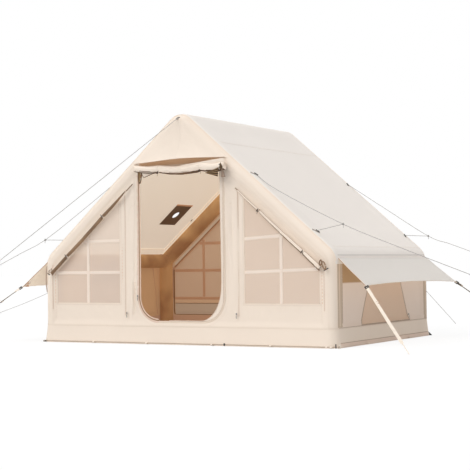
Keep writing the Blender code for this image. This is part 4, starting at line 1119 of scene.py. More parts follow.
def make_long_beam(name, node_name, centre):
    """A beam along the tent, gathered at its ends, over a centre (x, z)."""
    half = FRAME_Y - BEAM_R - 0.0003
    y = np.append(np.arange(-half, half, 0.01), half)
    points = np.stack([np.full(len(y), centre[0]), y, np.full(len(y), centre[1])], 1)

    def shape(turn, run):
        ends = np.minimum(run, 2 * half - run)
        gather = 0.02 * np.exp(-ends / 0.05) * np.sin(turn * 14 + 2 * np.sin(turn * 3))
        ring = 0.010 * np.exp(-((run - np.round(run / 0.43) * 0.43) / 0.004) ** 2)
        return 1 + gather + ring + 0.006 * noise(run * 6, turn * 2.2, 41, 2)

    beam = Piece(AMBER)
    round_tube(beam, points, BEAM_R - 0.0004, 40, AMBER, shape)
    for k in (-1, 1):
        collar = np.stack(
            [np.full(8, centre[0]), k * np.linspace(half - 0.05, half - 0.012, 8), np.full(8, centre[1])], 1
        )
        round_tube(beam, collar, BEAM_R + 0.0012, 40, AMBER)
    made = beam.build(name)
    place(made, "tent", "beam_sleeve", node_name)


# Roof
def roof_surface(side):
    """Points over a roof panel: u is the way down from the ridge, v is y, h the height over the cloth."""

    def surface(u, v, h):
        u, v, h = as_grids(u, v, h)
        x, z, nx, nz = path(np.maximum(u, 0.0))
        over = np.clip(np.abs(v) - FRAME_Y, 0.0, 0.05)
        tube_drop = SKIN - np.sqrt(np.maximum(SKIN**2 - over**2, 1e-9))
        between = smooth((0.86 - np.abs(v)) / 0.10) * smooth((u - 0.12) / 0.12) * smooth((1.60 - u) / 0.12)
        sag = between * (0.0045 + 0.003 * noise(u * 1.7, v * 1.3 + 8, 51, 2))
        edge = np.exp(-np.abs(np.abs(v) - 0.85) / 0.035)
        ripple = 0.0009 * edge * np.sin(u * 95 + 4 * noise(u * 4, v * 4, 53)) * smooth((u - 0.06) / 0.1)
        fine = 0.0006 * noise(u * 11, v * 9, 54, 2) * smooth((u - 0.03) / 0.05)
        off = SKIN + 0.0006 - tube_drop - sag + ripple + fine + h
        return np.stack([side * (x + nx * off), v, z + nz * off], -1)

    return surface


def slope_u(x):
    """Way down the roof from the ridge to the place over x on its slope."""
    return TO_SLOPE + (x - SLOPE_TOP[0] - math.sin(PITCH) * SKIN) / math.cos(PITCH)


GUY_SHARES = {
    "front_right_guy": (0.496, 0.901),
    "front_left_guy": (0.468, 0.922),
    "rear_right_guy": (0.499, 0.914),
    "rear_left_guy": (0.496, 0.914),
}
JACK_DISTANCE, JACK_Y = 1.25, 0.475
JACK_U = TO_SLOPE + JACK_DISTANCE - float(np.hypot(SLOPE_TOP[0], SHARP - SLOPE_TOP[1]))
ROOFS = {name: roof_surface(side) for name, side in ACROSS.items()}
ROOF_END = TO_POST + 0.01


def make_roof(name):
    """One roof panel with its seams, loops, piping and toggles."""
    surface = ROOFS[name]
    u = stretches((0.0, TO_SLOPE, TO_KNEE, ROOF_END), (10, 96, 12))
    v = stretches((-0.968, -0.86, 0.86, 0.930), (14, 96, 9))
    uu, vv = grid_of(u, v)
    faces = grid_faces(len(u), len(v))
    if name == "left":
        cut = (np.abs(uu - JACK_U) < 0.137) & (np.abs(vv - JACK_Y) < 0.137)
        faces = faces[~cut.ravel()[faces].all(1)]
    roof = Piece(ROOF, ROOF_IN, CREAM, WEBBING_GREY, BLACK, PIPING_IN, FOLD_SHADE_GREY)
    sheet_on(roof, surface, pairs(uu, vv), faces, 0.0, -THICKNESS, (ROOF, ROOF_IN, ROOF))
    # the seams along the tent and over the edge of each beam
    # painted shade: a grey line along the fold where the roof turns over the eave beam
    strip(roof, surface, [(1.853, -0.93), (1.853, 0.925)], 0.008, 0.0012, FOLD_SHADE_GREY, step=0.03)
    for at in (0.405, 1.800):
        line = [(at, -0.90), (at, 0.90)]
        strip(roof, surface, line, 0.013, 0.0011, ROOF, step=0.03)
        for w in (-0.0045, 0.0045):
            SEWN["roof"].run(surface, line, ROOF_STITCH_PITCH, 0.0013, side=w)
    for v_edge in (-0.966, 0.928):
        line = [(0.01, v_edge), (ROOF_END - 0.02, v_edge)]
        strip(roof, surface, line, 0.007, 0.0016, CREAM)
        SEWN["roof"].run(surface, line, ROOF_STITCH_PITCH, 0.0006, side=0.0075 if v_edge < 0 else -0.0075)
    # the loops that the guy lines start from
    for end, sign in OUTWARD.items():
        for share in GUY_SHARES[f"{end}_{name}_guy"]:
            at = slope_u(share * KNEE_X)
            line = [(at - 0.02, sign * 0.948), (at + 0.026, sign * 0.885)]
            strip(roof, surface, line, 0.020, 0.0014, WEBBING_GREY, step=0.008)
            bar = raised(surface, np.array([(at - 0.010, sign * 0.905), (at + 0.022, sign * 0.885)]), 0.004)
            round_tube(roof, even_line(bar, 0.006), 0.0045, 10, BLACK)
    # piping where the ceiling meets the beams, with the toggles that tie it to them
    for v_in in (-0.852, 0.852):
        line = surface(np.linspace(0.16, TO_KNEE - 0.06, 70), v_in, -0.0060)
        round_tube(roof, line, 0.0042, 8, PIPING_IN)
        for share in (0.30, 0.72):
            at = surface(share * TO_KNEE + np.array([-0.014, 0.014]), v_in * 0.985, -0.0105)
            round_tube(roof, even_line(at, 0.004), 0.0038, 10, BLACK)
    line = surface(TO_KNEE - 0.055, np.linspace(-0.848, 0.848, 60), -0.0060)
    round_tube(roof, line, 0.0042, 8, PIPING_IN)
    made = roof.build(f"{name} roof cloth")
    place(made, "tent", "roof_cloth", f"{name}_roof_panel")


def make_jack():
    """The fireproof panel with its pipe hole, and the flap that covers it."""
    surface = ROOFS["left"]
    hole = [
        (JACK_U + 0.05 * math.cos(a), JACK_Y + 0.05 * math.sin(a))
        for a in np.linspace(0, 2 * math.pi, 41)[:-1]
    ]
    square = [
        (JACK_U + a, JACK_Y + b)
        for a, b in ((-0.142, -0.142), (0.142, -0.142), (0.142, 0.142), (-0.142, 0.142))
    ]
    points, faces = flat_mesh(square, [hole], 0.012)
    high = 0.0018 + 0.0006 * noise(points[:, 0] * 30, points[:, 1] * 30, 61)
    panel = Piece(STOVE, RUST)
    sheet_on(panel, surface, points, faces, high, -0.0032)
    under, over = layer(surface, -0.0030, -1), layer(surface, 0.0018)
    for side in (over, under):
        strip(panel, side, closed(hole), 0.014, 0.0016, STOVE, step=0.008)
    strip(panel, over, closed(square), 0.012, 0.0012, STOVE, sink=0.0026)
    strip(panel, under, [square[0], square[3]], 0.020, 0.002, RUST)
    made = panel.build("stove pipe panel cloth")
    place(made, "tent", "stove_cloth", "stove_jack_panel")

    size = 0.31
    hinge = np.array(joint("stove_jack_flap_fold")["pos_m"])
    down = np.array([-math.cos(PITCH), 0.0, -math.sin(PITCH)])
    normal = np.array([-math.sin(PITCH), 0.0, math.cos(PITCH)])

    def flap_surface(u, v, h):
        """u is the way from the hinge line, below 0 up the slope, and v is the way along it."""
        u, v, h = as_grids(u, v, h)
        lift = 0.0016 * noise(u * 12, v * 12, 62, 2) * smooth(-u / 0.06) + h
        return (
            hinge + down * u[..., None] + normal * lift[..., None] + np.array([0.0, 1.0, 0.0]) * v[..., None]
        )

    flap = Piece(ROOF, STOVE, TAPE)
    flat = pairs(*grid_of(np.linspace(-size, 0.0, 26), np.linspace(-size / 2, size / 2, 26)))
    sheet_on(flap, flap_surface, flat, grid_faces(26, 26), 0.0013, -0.0013, (ROOF, STOVE, ROOF))
    on_flap = layer(flap_surface, 0.0013)
    e = size / 2 - 0.008
    loop = [(-0.008, -e), (-0.008, e), (-size + 0.008, e), (-size + 0.008, -e), (-0.008, -e)]
    strip(flap, on_flap, loop, 0.016, 0.0009, TAPE)
    flap_stitches = Sewing()
    for w in (-0.005, 0.005):
        flap_stitches.run(on_flap, loop, STITCH_PITCH, 0.0012, side=w)
    made = flap.build("stove pipe flap cloth")
    place(made, "stove_jack_flap", "shaded_cloth", "stove_jack_flap")
    sewn = flap_stitches.build("stove pipe flap stitches", STITCH, THREAD)
    place(sewn, "stove_jack_flap", "shaded_cloth")


# Side walls, skirt and floor
ARCH = {"sill": 0.175, "foot": 0.51, "shoulder": 0.347, "shoulder_z": 0.485, "top": 0.65, "middle": 0.015}


def arch_loop(inset=0.0, steps=24):
    """The outline of a side wall's arched net, made smaller by inset."""
    low, foot, shoulder = ARCH["sill"] + inset, ARCH["foot"] - inset, ARCH["shoulder"] - inset
    rise = ARCH["top"] - inset - ARCH["shoulder_z"]
    top = [
        (shoulder * math.cos(a), ARCH["shoulder_z"] + rise * math.sin(a))
        for a in np.linspace(0, math.pi, steps)
    ]
    return [(y + ARCH["middle"], z) for y, z in [(foot, low)] + top + [(-foot, low)]]


def side_surface(side):
    """Points on a side wall at (y, z) and height h over its cloth, with the wall's folds."""
    rng = np.random.default_rng(71 if side > 0 else 72)
    folds = []
    for _ in range(26):
        y, z = rng.uniform(-0.9, 0.9), rng.uniform(0.17, 0.6)
        end_y, high = y + rng.uniform(-0.04, 0.04), z + rng.uniform(0.05, 0.2)
        folds.append((y, z, end_y, high, rng.uniform(0.01, 0.02), rng.uniform(-0.0022, 0.0018)))

    def surface(y, z, h):
        y, z, h = as_grids(y, z, h)
        inner = smooth((0.86 - np.abs(y)) / 0.06)
        # the wall is set back from the round posts at its ends
        back = 0.014 * inner * smooth((z - SKIRT) / 0.05) * smooth((0.72 - z) / 0.05)
        wave = 0.0035 * inner * noise(y * 2.1, z * 2.9, 73, 2) + 0.0008 * noise(y * 9, z * 9, 74, 2)
        x = (
            SIDE_X - 0.001 - back
            + np.minimum(wave + creases(y, z, folds) * smooth((z - SKIRT) / 0.04), 0.004) * (back > 0.004) + h
        )
        over = np.clip(np.abs(y) - FRAME_Y, 0.0, 0.06)
        x = x - (SKIN - np.sqrt(np.maximum(SKIN**2 - over**2, 1e-9)))
        return np.stack([side * x, y, z], -1)

    return surface


SIDES = {name: side_surface(side) for name, side in ACROSS.items()}


def make_side(name):
    """A side wall with its seams and its arched net."""
    surface = SIDES[name]
    outline = [(-0.955, SKIRT - 0.004), (0.955, SKIRT - 0.004), (0.955, 0.70), (-0.955, 0.70)]
    points, faces = flat_mesh(outline, [arch_loop()], 0.018)
    wall = Piece(WALL_SIDE, WALL_SIDE_IN, ZIP_TAPE, SEAM_BROWN, BINDING_IN, WALL_END_SHADE)
    # painted shade: the faces next to the posts take a darker cloth, for the shade between post and wall
    near_post = np.abs(points[:, 0][faces]).mean(1) > 0.880
    ends = np.where(near_post, wall.slot_of(WALL_END_SHADE), wall.slot_of(WALL_SIDE))
    sheet_on(wall, surface, points, faces, 0.0, -THICKNESS, (ends, WALL_SIDE_IN, WALL_SIDE))
    arch = arch_loop(-0.010)
    strip(wall, surface, closed(arch), 0.008, 0.0014, SEAM_BROWN)
    within = layer(surface, -THICKNESS, -1)
    strip(wall, within, closed(arch), 0.020, 0.0014, BINDING_IN)
    teeth(surface, closed(arch_loop(-0.004)), 0.0020)
    SEWN["sides"].run(surface, closed(arch_loop(-0.024)), STITCH_PITCH, 0.0014)
    for y in (-0.875, 0.875):
        line = [(y, 0.20), (y, 0.69)]
        strip(wall, surface, line, 0.010, 0.0012, SEAM_BROWN)
        strip(wall, surface, [(y * 1.055, 0.175), (y * 1.055, 0.69)], 0.014, 0.0012, ZIP_TAPE)
        SEWN["sides"].run(surface, line, STITCH_PITCH, 0.0014)
    for sense in (-1, 1):
        line = [(sense * y, z) for y, z in ((0.755, 0.68), (0.785, 0.52), (0.825, 0.34), (0.862, 0.18))]
        strip(wall, within, line, 0.012, 0.0018, BINDING_IN)
    if name == "left":
        # the bound flap that stands out beside the front post
        z = np.linspace(0.700, 0.450, 30)
        bow = 0.008 * np.sin(np.linspace(0, math.pi, 30)) - 0.004
        line = np.stack([-1.4715 - 0.78 * bow, -0.9795 - 0.625 * bow, z], 1)
        radius = 0.0042 * (1 - 0.5 * np.linspace(-1, 1, 30) ** 4)
        oval = lambda turn, run: 1.05 + 0.35 * np.cos(2 * turn)
        round_tube(wall, line, radius, 12, SEAM_BROWN, oval, side=(0.78, 0.625, 0.0))
    made = wall.build(f"{name} side cloth")
    place(made, "tent", "shaded_cloth", f"{name}_side_wall")
    flat_area(points, faces)
    points, faces = flat_mesh(arch_loop(-0.003), [], 0.03)
    net = Piece(NET_SIDE)
    sag = 0.002 * noise(points[:, 0] * 5, points[:, 1] * 6, 75)
    sheet_on(net, surface, points, faces, sag - 0.001, sag - 0.002)
    made = net.build(f"{name} side net cloth")
    place(made, "tent", "insect_net", f"{name}_side_net")
    flat_area(points, faces)


def skirt_line(steps=14):
    """The plan of the skirt's top edge, with round corners, as points and outward directions."""
    corners = ((1, -1, -math.pi / 2), (1, 1, 0.0), (-1, 1, math.pi / 2), (-1, -1, math.pi))
    out = []
    for sx, sy, start in corners:
        cx, cy = sx * (SIDE_X - SKIN), sy * (WALL_Y - SKIN)
        for a in np.linspace(start, start + math.pi / 2, steps):
            out.append((cx + SKIN * math.cos(a), cy + SKIN * math.sin(a), math.cos(a), math.sin(a)))
    dense = []
    for p, q in zip(out, out[1:] + out[:1]):
        n = max(1, int(math.dist(p[:2], q[:2]) / SKIRT_STEP))
        dense += [tuple(a + (b - a) * i / n for a, b in zip(p, q)) for i in range(n)]
    return np.array(dense)


SKIRT_LINE = skirt_line()


def skirt_surface(u, z, h):
    """u runs round the skirt in steps of its plan, z is the height, h the height over the cloth."""
    u, z, h = as_grids(u, z, h)
    n = len(SKIRT_LINE)
    i = np.floor(u).astype(int)
    f = (u - i)[..., None]
    here = SKIRT_LINE[i % n] * (1 - f) + SKIRT_LINE[(i + 1) % n] * f
    x, y, dx, dy = np.moveaxis(here, -1, 0)
    down = np.clip((SKIRT - z) / SKIRT, 0, 1)
    flare_x, flare_y = BASE_X - SIDE_X, BASE_Y - WALL_Y
    run = u * SKIRT_STEP
    wave = down * (
        0.0025 * np.sin(run * 9 + 2 * noise(run * 1.3, run * 0, 81)) + 0.0025 * noise(run * 5, z * 8, 82, 2)
    )
    hem = 0.0022 * np.exp(-(((z - 0.012) / 0.006) ** 2))
    out = down * 0.5 + down**2 * 0.5
    off = wave - 0.0015 + hem + h
    return np.stack([x + dx * (flare_x * out + off), y + dy * (flare_y * out + off), z + 0 * h], -1)


def skirt_at(u, z, h):
    """The same surface with the way round the skirt in metres."""
    return skirt_surface(np.asarray(u) / SKIRT_STEP, z, h)


def make_base():
    """The skirt all round the base, with its hem and seams, and the ground sheet."""
    n = len(SKIRT_LINE)
    hem, middle = (0.0005, 0.004, 0.008, 0.012, 0.016, 0.022), (0.035, 0.055, 0.075, 0.095, 0.115, 0.13)
    z = np.array([*hem, *middle, 0.142, 0.150, 0.156, 0.1605, 0.165])
    uu, zz = grid_of(np.arange(n), z)
    outer = skirt_surface(uu, zz, 0.0).reshape(-1, 3)
    inner = skirt_surface(uu, zz, -0.0024).reshape(-1, 3)
    faces = grid_faces(n, len(z))
    # the faces that close the round
    low, start = np.arange(len(z) - 1), (n - 1) * len(z)
    last = np.stack([low + start, low + 1 + start, low + 1, low], 1)
    faces = np.concatenate([faces, last])
    skirt = Piece(CREAM, FLOOR_WALL, TAPE, HEM, HEM_SIDE, SEAM_BROWN)
    solid_sheet(skirt, outer, inner, faces, pairs(uu * SKIRT_STEP, zz), (CREAM, FLOOR_WALL, CREAM))

    def level(columns, height):
        return [(u * SKIRT_STEP, height) for u in columns]

    strip(skirt, skirt_at, level(np.arange(0, n + 1, 1.0), SKIRT - 0.002), 0.014, 0.0013, TAPE, step=0.03)
    flanks = np.abs(SKIRT_LINE[:, 2]) > 0.98
    for flank, height, wide, high, finish in (
        (True, 0.020, 0.034, 0.0012, HEM_SIDE), (True, 0.039, 0.005, 0.0020, SEAM_BROWN),
        (True, SKIRT + 0.001, 0.005, 0.0022, SEAM_BROWN), (False, 0.012, 0.008, 0.0022, HEM),
    ):
        runs = np.flatnonzero(flanks == flank)
        for run in np.split(runs, np.flatnonzero(np.diff(runs) > 1) + 1):
            if len(run) > 3:
                strip(skirt, skirt_at, level(run.astype(float), height), wide, high, finish, step=0.03)
    for height, lift in ((SKIRT - 0.0065, 0.0014), (SKIRT + 0.0025, 0.0014), (0.0235, 0.0006)):
        SEWN["skirt"].run(skirt_at, level(np.arange(0, n, 1.0), height), STITCH_PITCH, lift)
    made = skirt.build("skirt cloth")
    place(made, "tent", "cream_cloth", "ground_skirt")
    floor = Piece(FLOOR)
    xx, yy = grid_of(np.linspace(-1.4935, 1.4935, 150), np.linspace(-1.018, 1.018, 104))
    wave = 0.0022 + 0.0011 * noise(xx * 3.1, yy * 3.3, 91, 3)
    cut = (np.abs(xx) > 1.42) & (np.abs(yy) > 0.945) & (
        np.hypot(np.abs(xx) - 1.42, np.abs(yy) - 0.945) > 0.074
    )
    faces = grid_faces(*xx.shape)
    faces = faces[~cut.ravel()[faces].any(1)]
    top = np.stack([xx, yy, wave], -1).reshape(-1, 3)
    bottom = np.stack([xx, yy, np.full(xx.shape, 0.0004)], -1).reshape(-1, 3)
    solid_sheet(floor, top, bottom, faces, pairs(xx, yy), (FLOOR, FLOOR, FLOOR))
    made = floor.build("floor cloth")
    place(made, "tent", "floor_cloth", "ground_sheet")


# Rolled cloth with its ties
def roll_frames(line):
    """Directions along a roll, outwards across it, and at right angles to both."""
    tangent = unit_rows(np.gradient(line, axis=0))
    first = unit_rows(np.array([0.0, 1.0, 0.0]) - tangent * tangent[:, 1:2])
    return tangent, first, np.cross(tangent, first)


# The finishes of a roll, in the order in which it is given them
ROLL_CLOTH, ROLL_TAPE, ROLL_TOGGLE, ROLL_SHADOW, ROLL_LINING_AND_SHADE, ROLL_SEAM, ROLL_TAN, ROLL_OLIVE = range(8)


def cloth_roll(
    name, node_name, start, stop, radius, ties, seed, bunch, shade_from, thick, sag=0.006, pinched=0.26,
    lining=LINING_AND_UNDERSIDE_SHADE, wander=10, lowered=0.0,
):
    """A rolled cover. Its underside is painted dark as shade, from an angle counted from the front of the
    roll downward. thick gives shares of the length and of the thickness."""
    is_window = "window" in name
    start, stop = np.array(start), np.array(stop)
    length = float(np.linalg.norm(stop - start))
    direction = (stop - start) / length
    n = int(length / 0.006)
    share = np.linspace(0, 1, n)
    line = start + direction * (share * length)[:, None]
    knots = [0.0] + list(ties) + [1.0]
    droop = np.zeros(n)
    for a, b in zip(knots, knots[1:]):
        part = np.clip((share - a) / (b - a), 0, 1)
        droop = np.maximum(droop, np.where((share >= a) & (share <= b), 4 * part * (1 - part) * (b - a), 0))
    line[:, 2] -= sag * droop / 0.45 + lowered * smooth((share - 0.05) / 0.24)
    line[:, 2] += 0.0012 * noise(share * 14, share * 0 + seed, seed, 2)
    pinch = sum(np.exp(-(((share - tie) * length / 0.014) ** 2)) for tie in ties)
    fat = 1 - pinched * np.clip(pinch, 0, 1) + 0.05 * noise(share * 11, share * 0, seed + 1, 2)
    ends = np.minimum(share, 1 - share) * length
    fat *= (0.90 + 0.10 * smooth(ends / 0.02)) * np.interp(share, *zip(*thick))
    hanging = droop / droop.max()

    def shape(turn, run):
        s = run / length
        wrap = 0.05 * np.sin(turn + s * 3.0)
        layers = 0.045 * np.abs(np.sin(turn * 1.5 + 2.2 * noise(s * 5, s * 0 + 3, seed + 2)))
        near = sum(np.exp(-np.abs(s - tie) * length / 0.045) for tie in ties)
        gather = near * 0.05 * np.sin(turn * 9 + 3 * np.sin(s * 40))
        crinkle = 0.045 * noise(s * length * 28, turn * 2.0, seed + 3, 3)
        return 0.93 + wrap + layers * 0.6 + gather + crinkle

    outward = -1 if start[1] < 0 else 1
    down = 1 if np.cross(direction, (0.0, 1.0, 0.0))[2] < 0 else -1

    # painted shade: the faces of the roll's underside past the angle take the dark finish, more of them where
    # the roll hangs lower, and the start of the right windows' rolls is dark too
    def paint(turn, run):
        angle = np.degrees(np.arctan2(np.sin(turn) * down, np.cos(turn) * outward))
        stray = wander * noise(run * 9, run * 0 + seed, seed + 5, 2)
        open_more = 26 * np.interp(run, share * length, hanging)
        if "door" in name:
            open_more = open_more + 16 * (run < ties[0] * length)
        tip = (run < 0.028) & ("right window" in name)
        return np.where((angle > shade_from + 13 + stray - open_more) | tip, ROLL_LINING_AND_SHADE, ROLL_CLOTH)

    roll = Piece(CREAM, TAPE, WOOD, SHADOW_CLOTH, lining, SEAM_BROWN, FOLD_TAN, FOLD_OLIVE)
    # the ends of the window rolls are painted in the dark shadow cloth
    round_tube(
        roll, line, radius * 0.97 * fat, 40, paint, shape, side=(0.0, 1.0, 0.0),
        end_slot=ROLL_SHADOW if is_window else ROLL_CLOTH,
    )
    # the free edge of the cloth lies along the roll as a thin lip
    lip_turn = math.atan2(
        math.sin(math.radians(shade_from)) * down, math.cos(math.radians(shade_from)) * outward
    )
    tangent, first, second = roll_frames(line)
    out = np.cos(lip_turn) * first + np.sin(lip_turn) * second
    lip = line + out * (radius * 0.97 * fat * 0.97)[:, None]
    round_tube(roll, lip, 0.0022, 8, ROLL_CLOTH)
    if "right window" in name:
        over = np.cross(direction, [0.0, 1.0, 0.0])
        over *= np.sign(over[2])
        edge = line + over * (radius * fat)[:, None] + np.array([0, outward * radius * 0.35, 0])
        round_tube(roll, edge, 0.0017, 8, ROLL_SEAM)
    # a spiral of layers shows at each end
    turns = np.linspace(0, 5 * math.pi, 60)
    r = radius * 0.15 + radius * 0.62 * turns / turns[-1]
    for at, push in ((line[0], -direction), (line[-1], direction)):
        spiral = ring_points(at + push * 0.0015, turns, r, first[0], second[0])
        round_tube(roll, spiral, radius * 0.065, 6, ROLL_CLOTH)
    for k, tie in enumerate(ties):
        i = int(tie * (n - 1))
        centre, along = line[i], tangent[i]
        r = radius * 0.86
        turns = np.linspace(0, 2 * math.pi, 30)
        band_ring(roll, ring_points(centre, turns, r, first[i], second[i]), along, 0.012, 0.0012, ROLL_TAPE)
        front = np.array([0.0, float(outward), 0.0])
        toggle = centre + (
            front * (r + 0.004) if is_window else front * r * 0.72 - np.array([0, 0, r * 0.86])
        )
        bar = toggle + np.outer(np.linspace(-0.016, 0.016, 9), unit(along * 0.5 + np.array([0, 0, 0.8])))
        taper = 1 - 0.35 * np.abs(np.linspace(-1, 1, 9)) ** 3
        round_tube(roll, bar, (0.0042 if is_window else 0.0062) * taper, 12, ROLL_TOGGLE)
        tail = toggle + np.array([0.003, 0, 0])
        tail = tail + np.outer(np.linspace(0, 1, 10), [0.010 * (1 if k else -1), 0, -0.035])
        tail = tail + np.outer(np.sin(np.linspace(0, 3, 10)) * 0.004, [1, 0, 0])
        round_tube(roll, tail, 0.0013, 8, ROLL_TOGGLE)
    bunch(roll, line, radius)
    if "left window" in name:
        # the edge of the cover goes on as a dark line to where its upright zip ends
        tail = line[0] - direction * 0.09 + np.outer(np.linspace(0, 1, 20), direction * 0.10)
        tail[:, 1] = outward * (WALL_Y + 0.0045)
        round_tube(roll, tail, 0.0042, 8, ROLL_LINING_AND_SHADE)
    made = roll.build(name, sharp=50)
    place(made, "tent", "cream_cloth", node_name)


def band_ring(piece, ring, along, width, thick, slot):
    """A flat band round a roll: its ring of middle points and the direction of its width."""
    centre = ring.mean(0)
    out = unit_rows(ring - centre)
    corners = [(-width / 2, -thick), (-width / 2, thick), (width / 2, thick), (width / 2, -thick)]
    points = np.stack([ring + along * w + out * h for w, h in corners], 1)
    uv = np.zeros((len(ring) * 4, 2))
    uv[:, 0] = np.tile([0, thick, thick + width, width], len(ring))
    uv[:, 1] = np.repeat(np.arange(len(ring)) * 0.004, 4)
    tube(piece, points.reshape(-1, 3), len(ring), 4, uv, slot)


def pleats(roll, apex, low, high, depth, count, dark, light, rib_from, ridge=ROLL_SEAM):
    """A corner of gathered cloth: ribs that run from one point out to a wider end."""
    s, t = grid_of(np.linspace(0, 1, 22), np.linspace(0, 1, 12 * count + 1))
    apex, low, high = (np.array(p, float) for p in (apex, low, high))
    end = low + (high - low) * t[..., None]
    point = apex + (end - apex) * s[..., None]
    rib = np.abs(np.sin(math.pi * count * t + 0.6 * np.sin(s * 5)))
    point[..., 1] -= depth * (0.15 + 0.85 * s) * rib * (1 - 0.25 * s * np.cos(t * 9))
    point[..., 1] = np.maximum(point[..., 1], -1.0835)
    back = point + np.array([0, 0.0035, 0])
    faces = grid_faces(*s.shape)
    middle = rib[:-1, :-1].ravel()
    # painted shade in the hollows between the ribs, and a painted highlight on their ridges
    slots = np.where(middle < 0.45, dark, np.where(middle > rib_from, ridge, light))
    uv = pairs(s, t) * 0.1
    solid_sheet(roll, point.reshape(-1, 3), back.reshape(-1, 3), faces, uv, (slots, ROLL_SHADOW, ROLL_SHADOW))


def loop_strap(roll, top, drop, wide, radius, slot):
    """A narrow strap that hangs in a loop."""
    t = np.linspace(0, math.pi, 26)
    x = top[0] + wide / 2 * np.cos(t)
    z = top[2] - drop * np.sin(t) ** 0.7
    y = top[1] - 0.004 * np.sin(t)
    round_tube(roll, np.stack([x, y, z], 1), radius, 8, slot, lambda turn, run: 1 + 0.5 * np.cos(2 * turn))


def door_bunch(roll, line, radius):
    """The gathered corner at the right end, with dark folds, and the corner that hangs at the left."""
    end = line[-1]
    pleats(
        roll, (0.306, -1.072, 1.464), (0.436, -1.070, 1.428), (0.450, -1.077, 1.506), 0.010, 4, ROLL_SHADOW,
        ROLL_OLIVE, 0.90, ROLL_TAN,
    )
    pleats(
        roll, (0.468, -1.064, 1.520), (0.500, -1.054, 1.422), (0.462, -1.062, 1.424), 0.010, 3, ROLL_LINING_AND_SHADE,
        ROLL_SEAM, 2,
    )
    # a dark knot, pointed at its upper end
    run = np.linspace(0, 1, 16)
    knot = np.array([0.468, -1.079, 1.545]) + np.outer(run, [0.003, 0, -0.058])
    round_tube(roll, knot, 0.0135 * np.sin(math.pi * (0.04 + 0.90 * run**1.5)), 12, ROLL_OLIVE)
    # above the roll the door goes on up to its seam, so light cloth shows here
    u, v = grid_of(np.linspace(0, 1, 30), np.linspace(0, 1, 6))
    x = 0.06 + 0.425 * u
    z = 1.530 + (0.012 + 0.044 * u**0.9) * v
    cover = np.stack([x, -1.052 - 0.004 * np.sin(v * 2.4) - 0.002 * np.sin(u * 11), z], -1).reshape(-1, 3)
    solid_sheet(
        roll, cover, cover + np.array([0, 0.002, 0]), grid_faces(30, 6), pairs(x, z),
        (ROLL_CLOTH, ROLL_CLOTH, ROLL_CLOTH),
    )
    upright = ((0, 0, 1), (1, 0, 0), (0, 1, 0))
    box(roll, end + np.array([-0.030, -0.030, -0.006]), upright, (0.040, 0.013, 0.008), ROLL_TOGGLE)
    # the corner of the door that hangs under the left part, with its bound edge
    u, v = grid_of(np.linspace(0, 1, 20), np.linspace(0, 1, 10))
    x = -0.350 + 0.190 * u
    z = line[0][2] - radius * 0.62 - (0.060 * (1 - u) ** 0.8 * smooth(u / 0.10 + 0.25)) * v
    y = -1.050 - 0.006 * np.sin(u * 9 + v * 3) * v
    outer = np.stack([x, y - 0.0012, z], -1)
    inner = np.stack([x, y + 0.0012, z], -1)
    solid_sheet(
        roll, outer.reshape(-1, 3), inner.reshape(-1, 3), grid_faces(20, 10), pairs(x, z),
        (ROLL_TAPE, ROLL_SHADOW, ROLL_LINING_AND_SHADE),
    )
    round_tube(roll, outer[:, -1], 0.0032, 8, ROLL_LINING_AND_SHADE)
    loop_strap(roll, (-0.374, -1.052, line[0][2] - 0.026), 0.088, 0.010, 0.0044, ROLL_TAN)
    loop_strap(roll, (-0.374, -1.047, line[0][2] - 0.026), 0.103, 0.032, 0.0050, ROLL_LINING_AND_SHADE)


def window_bunch(roll, line, radius):
    """The loose corner of a window cover, gathered at the low end of its roll, with its loops."""
    end = line[-1]
    direction, first, second = (way[-1] for way in roll_frames(line))
    outward = -1 if end[1] < 0 else 1
    across = 1 if end[0] > 0 else -1
    rng = np.random.default_rng(6)
    for k in range(6):
        a = rng.uniform(0, 2 * math.pi)
        start = end - direction * 0.05 + 0.5 * radius * (math.cos(a) * first + math.sin(a) * second)
        tip = (
            end - direction * 0.01 + np.array([0, 0, rng.uniform(-0.045, 0.012)])
            + direction * rng.uniform(-0.02, 0.012)
        )
        mid = (start + tip) / 2 + rng.uniform(-0.008, 0.008, 3)
        s = np.linspace(0, 1, 12)[:, None]
        curve = start * (1 - s) ** 2 + mid * 2 * s * (1 - s) + tip * s**2
        round_tube(
            roll, curve, 0.0085 * (1 - 0.5 * np.linspace(0, 1, 12)), 10,
            ROLL_SHADOW if k == 2 else ROLL_LINING_AND_SHADE,
        )
    t = np.linspace(0, 2 * math.pi, 30)
    right = across > 0
    loops = ((-0.014, 0.026, 0.014, 0.3), (0.016, 0.010, 0.017, -0.4))
    if right:
        loops = ((0.012, 0.044, 0.021, 0.15), (0.042, 0.022, 0.030, -0.3))
    for shift, lift, size, lean in loops:
        ring = np.stack([size * 0.45 * np.cos(t) + lean * size * np.sin(t), 0 * t, size * np.sin(t)], 1)
        ring = ring * [across, 1, 1] + end + np.array([across * shift, outward * 0.016, lift])
        round_tube(roll, ring[:-1], 0.0052 if right else 0.0026, 10, ROLL_LINING_AND_SHADE)
    shift, reach = (0.060, 0.021) if right else (0.022, 0.014)
    bar = end + np.array([across * shift, outward * 0.012, -0.010])
    bar = bar + np.outer(np.linspace(-1, 1, 8) * reach, [across * 0.9, 0, 0.42])
    round_tube(roll, bar, 0.0046, 10, ROLL_TOGGLE)


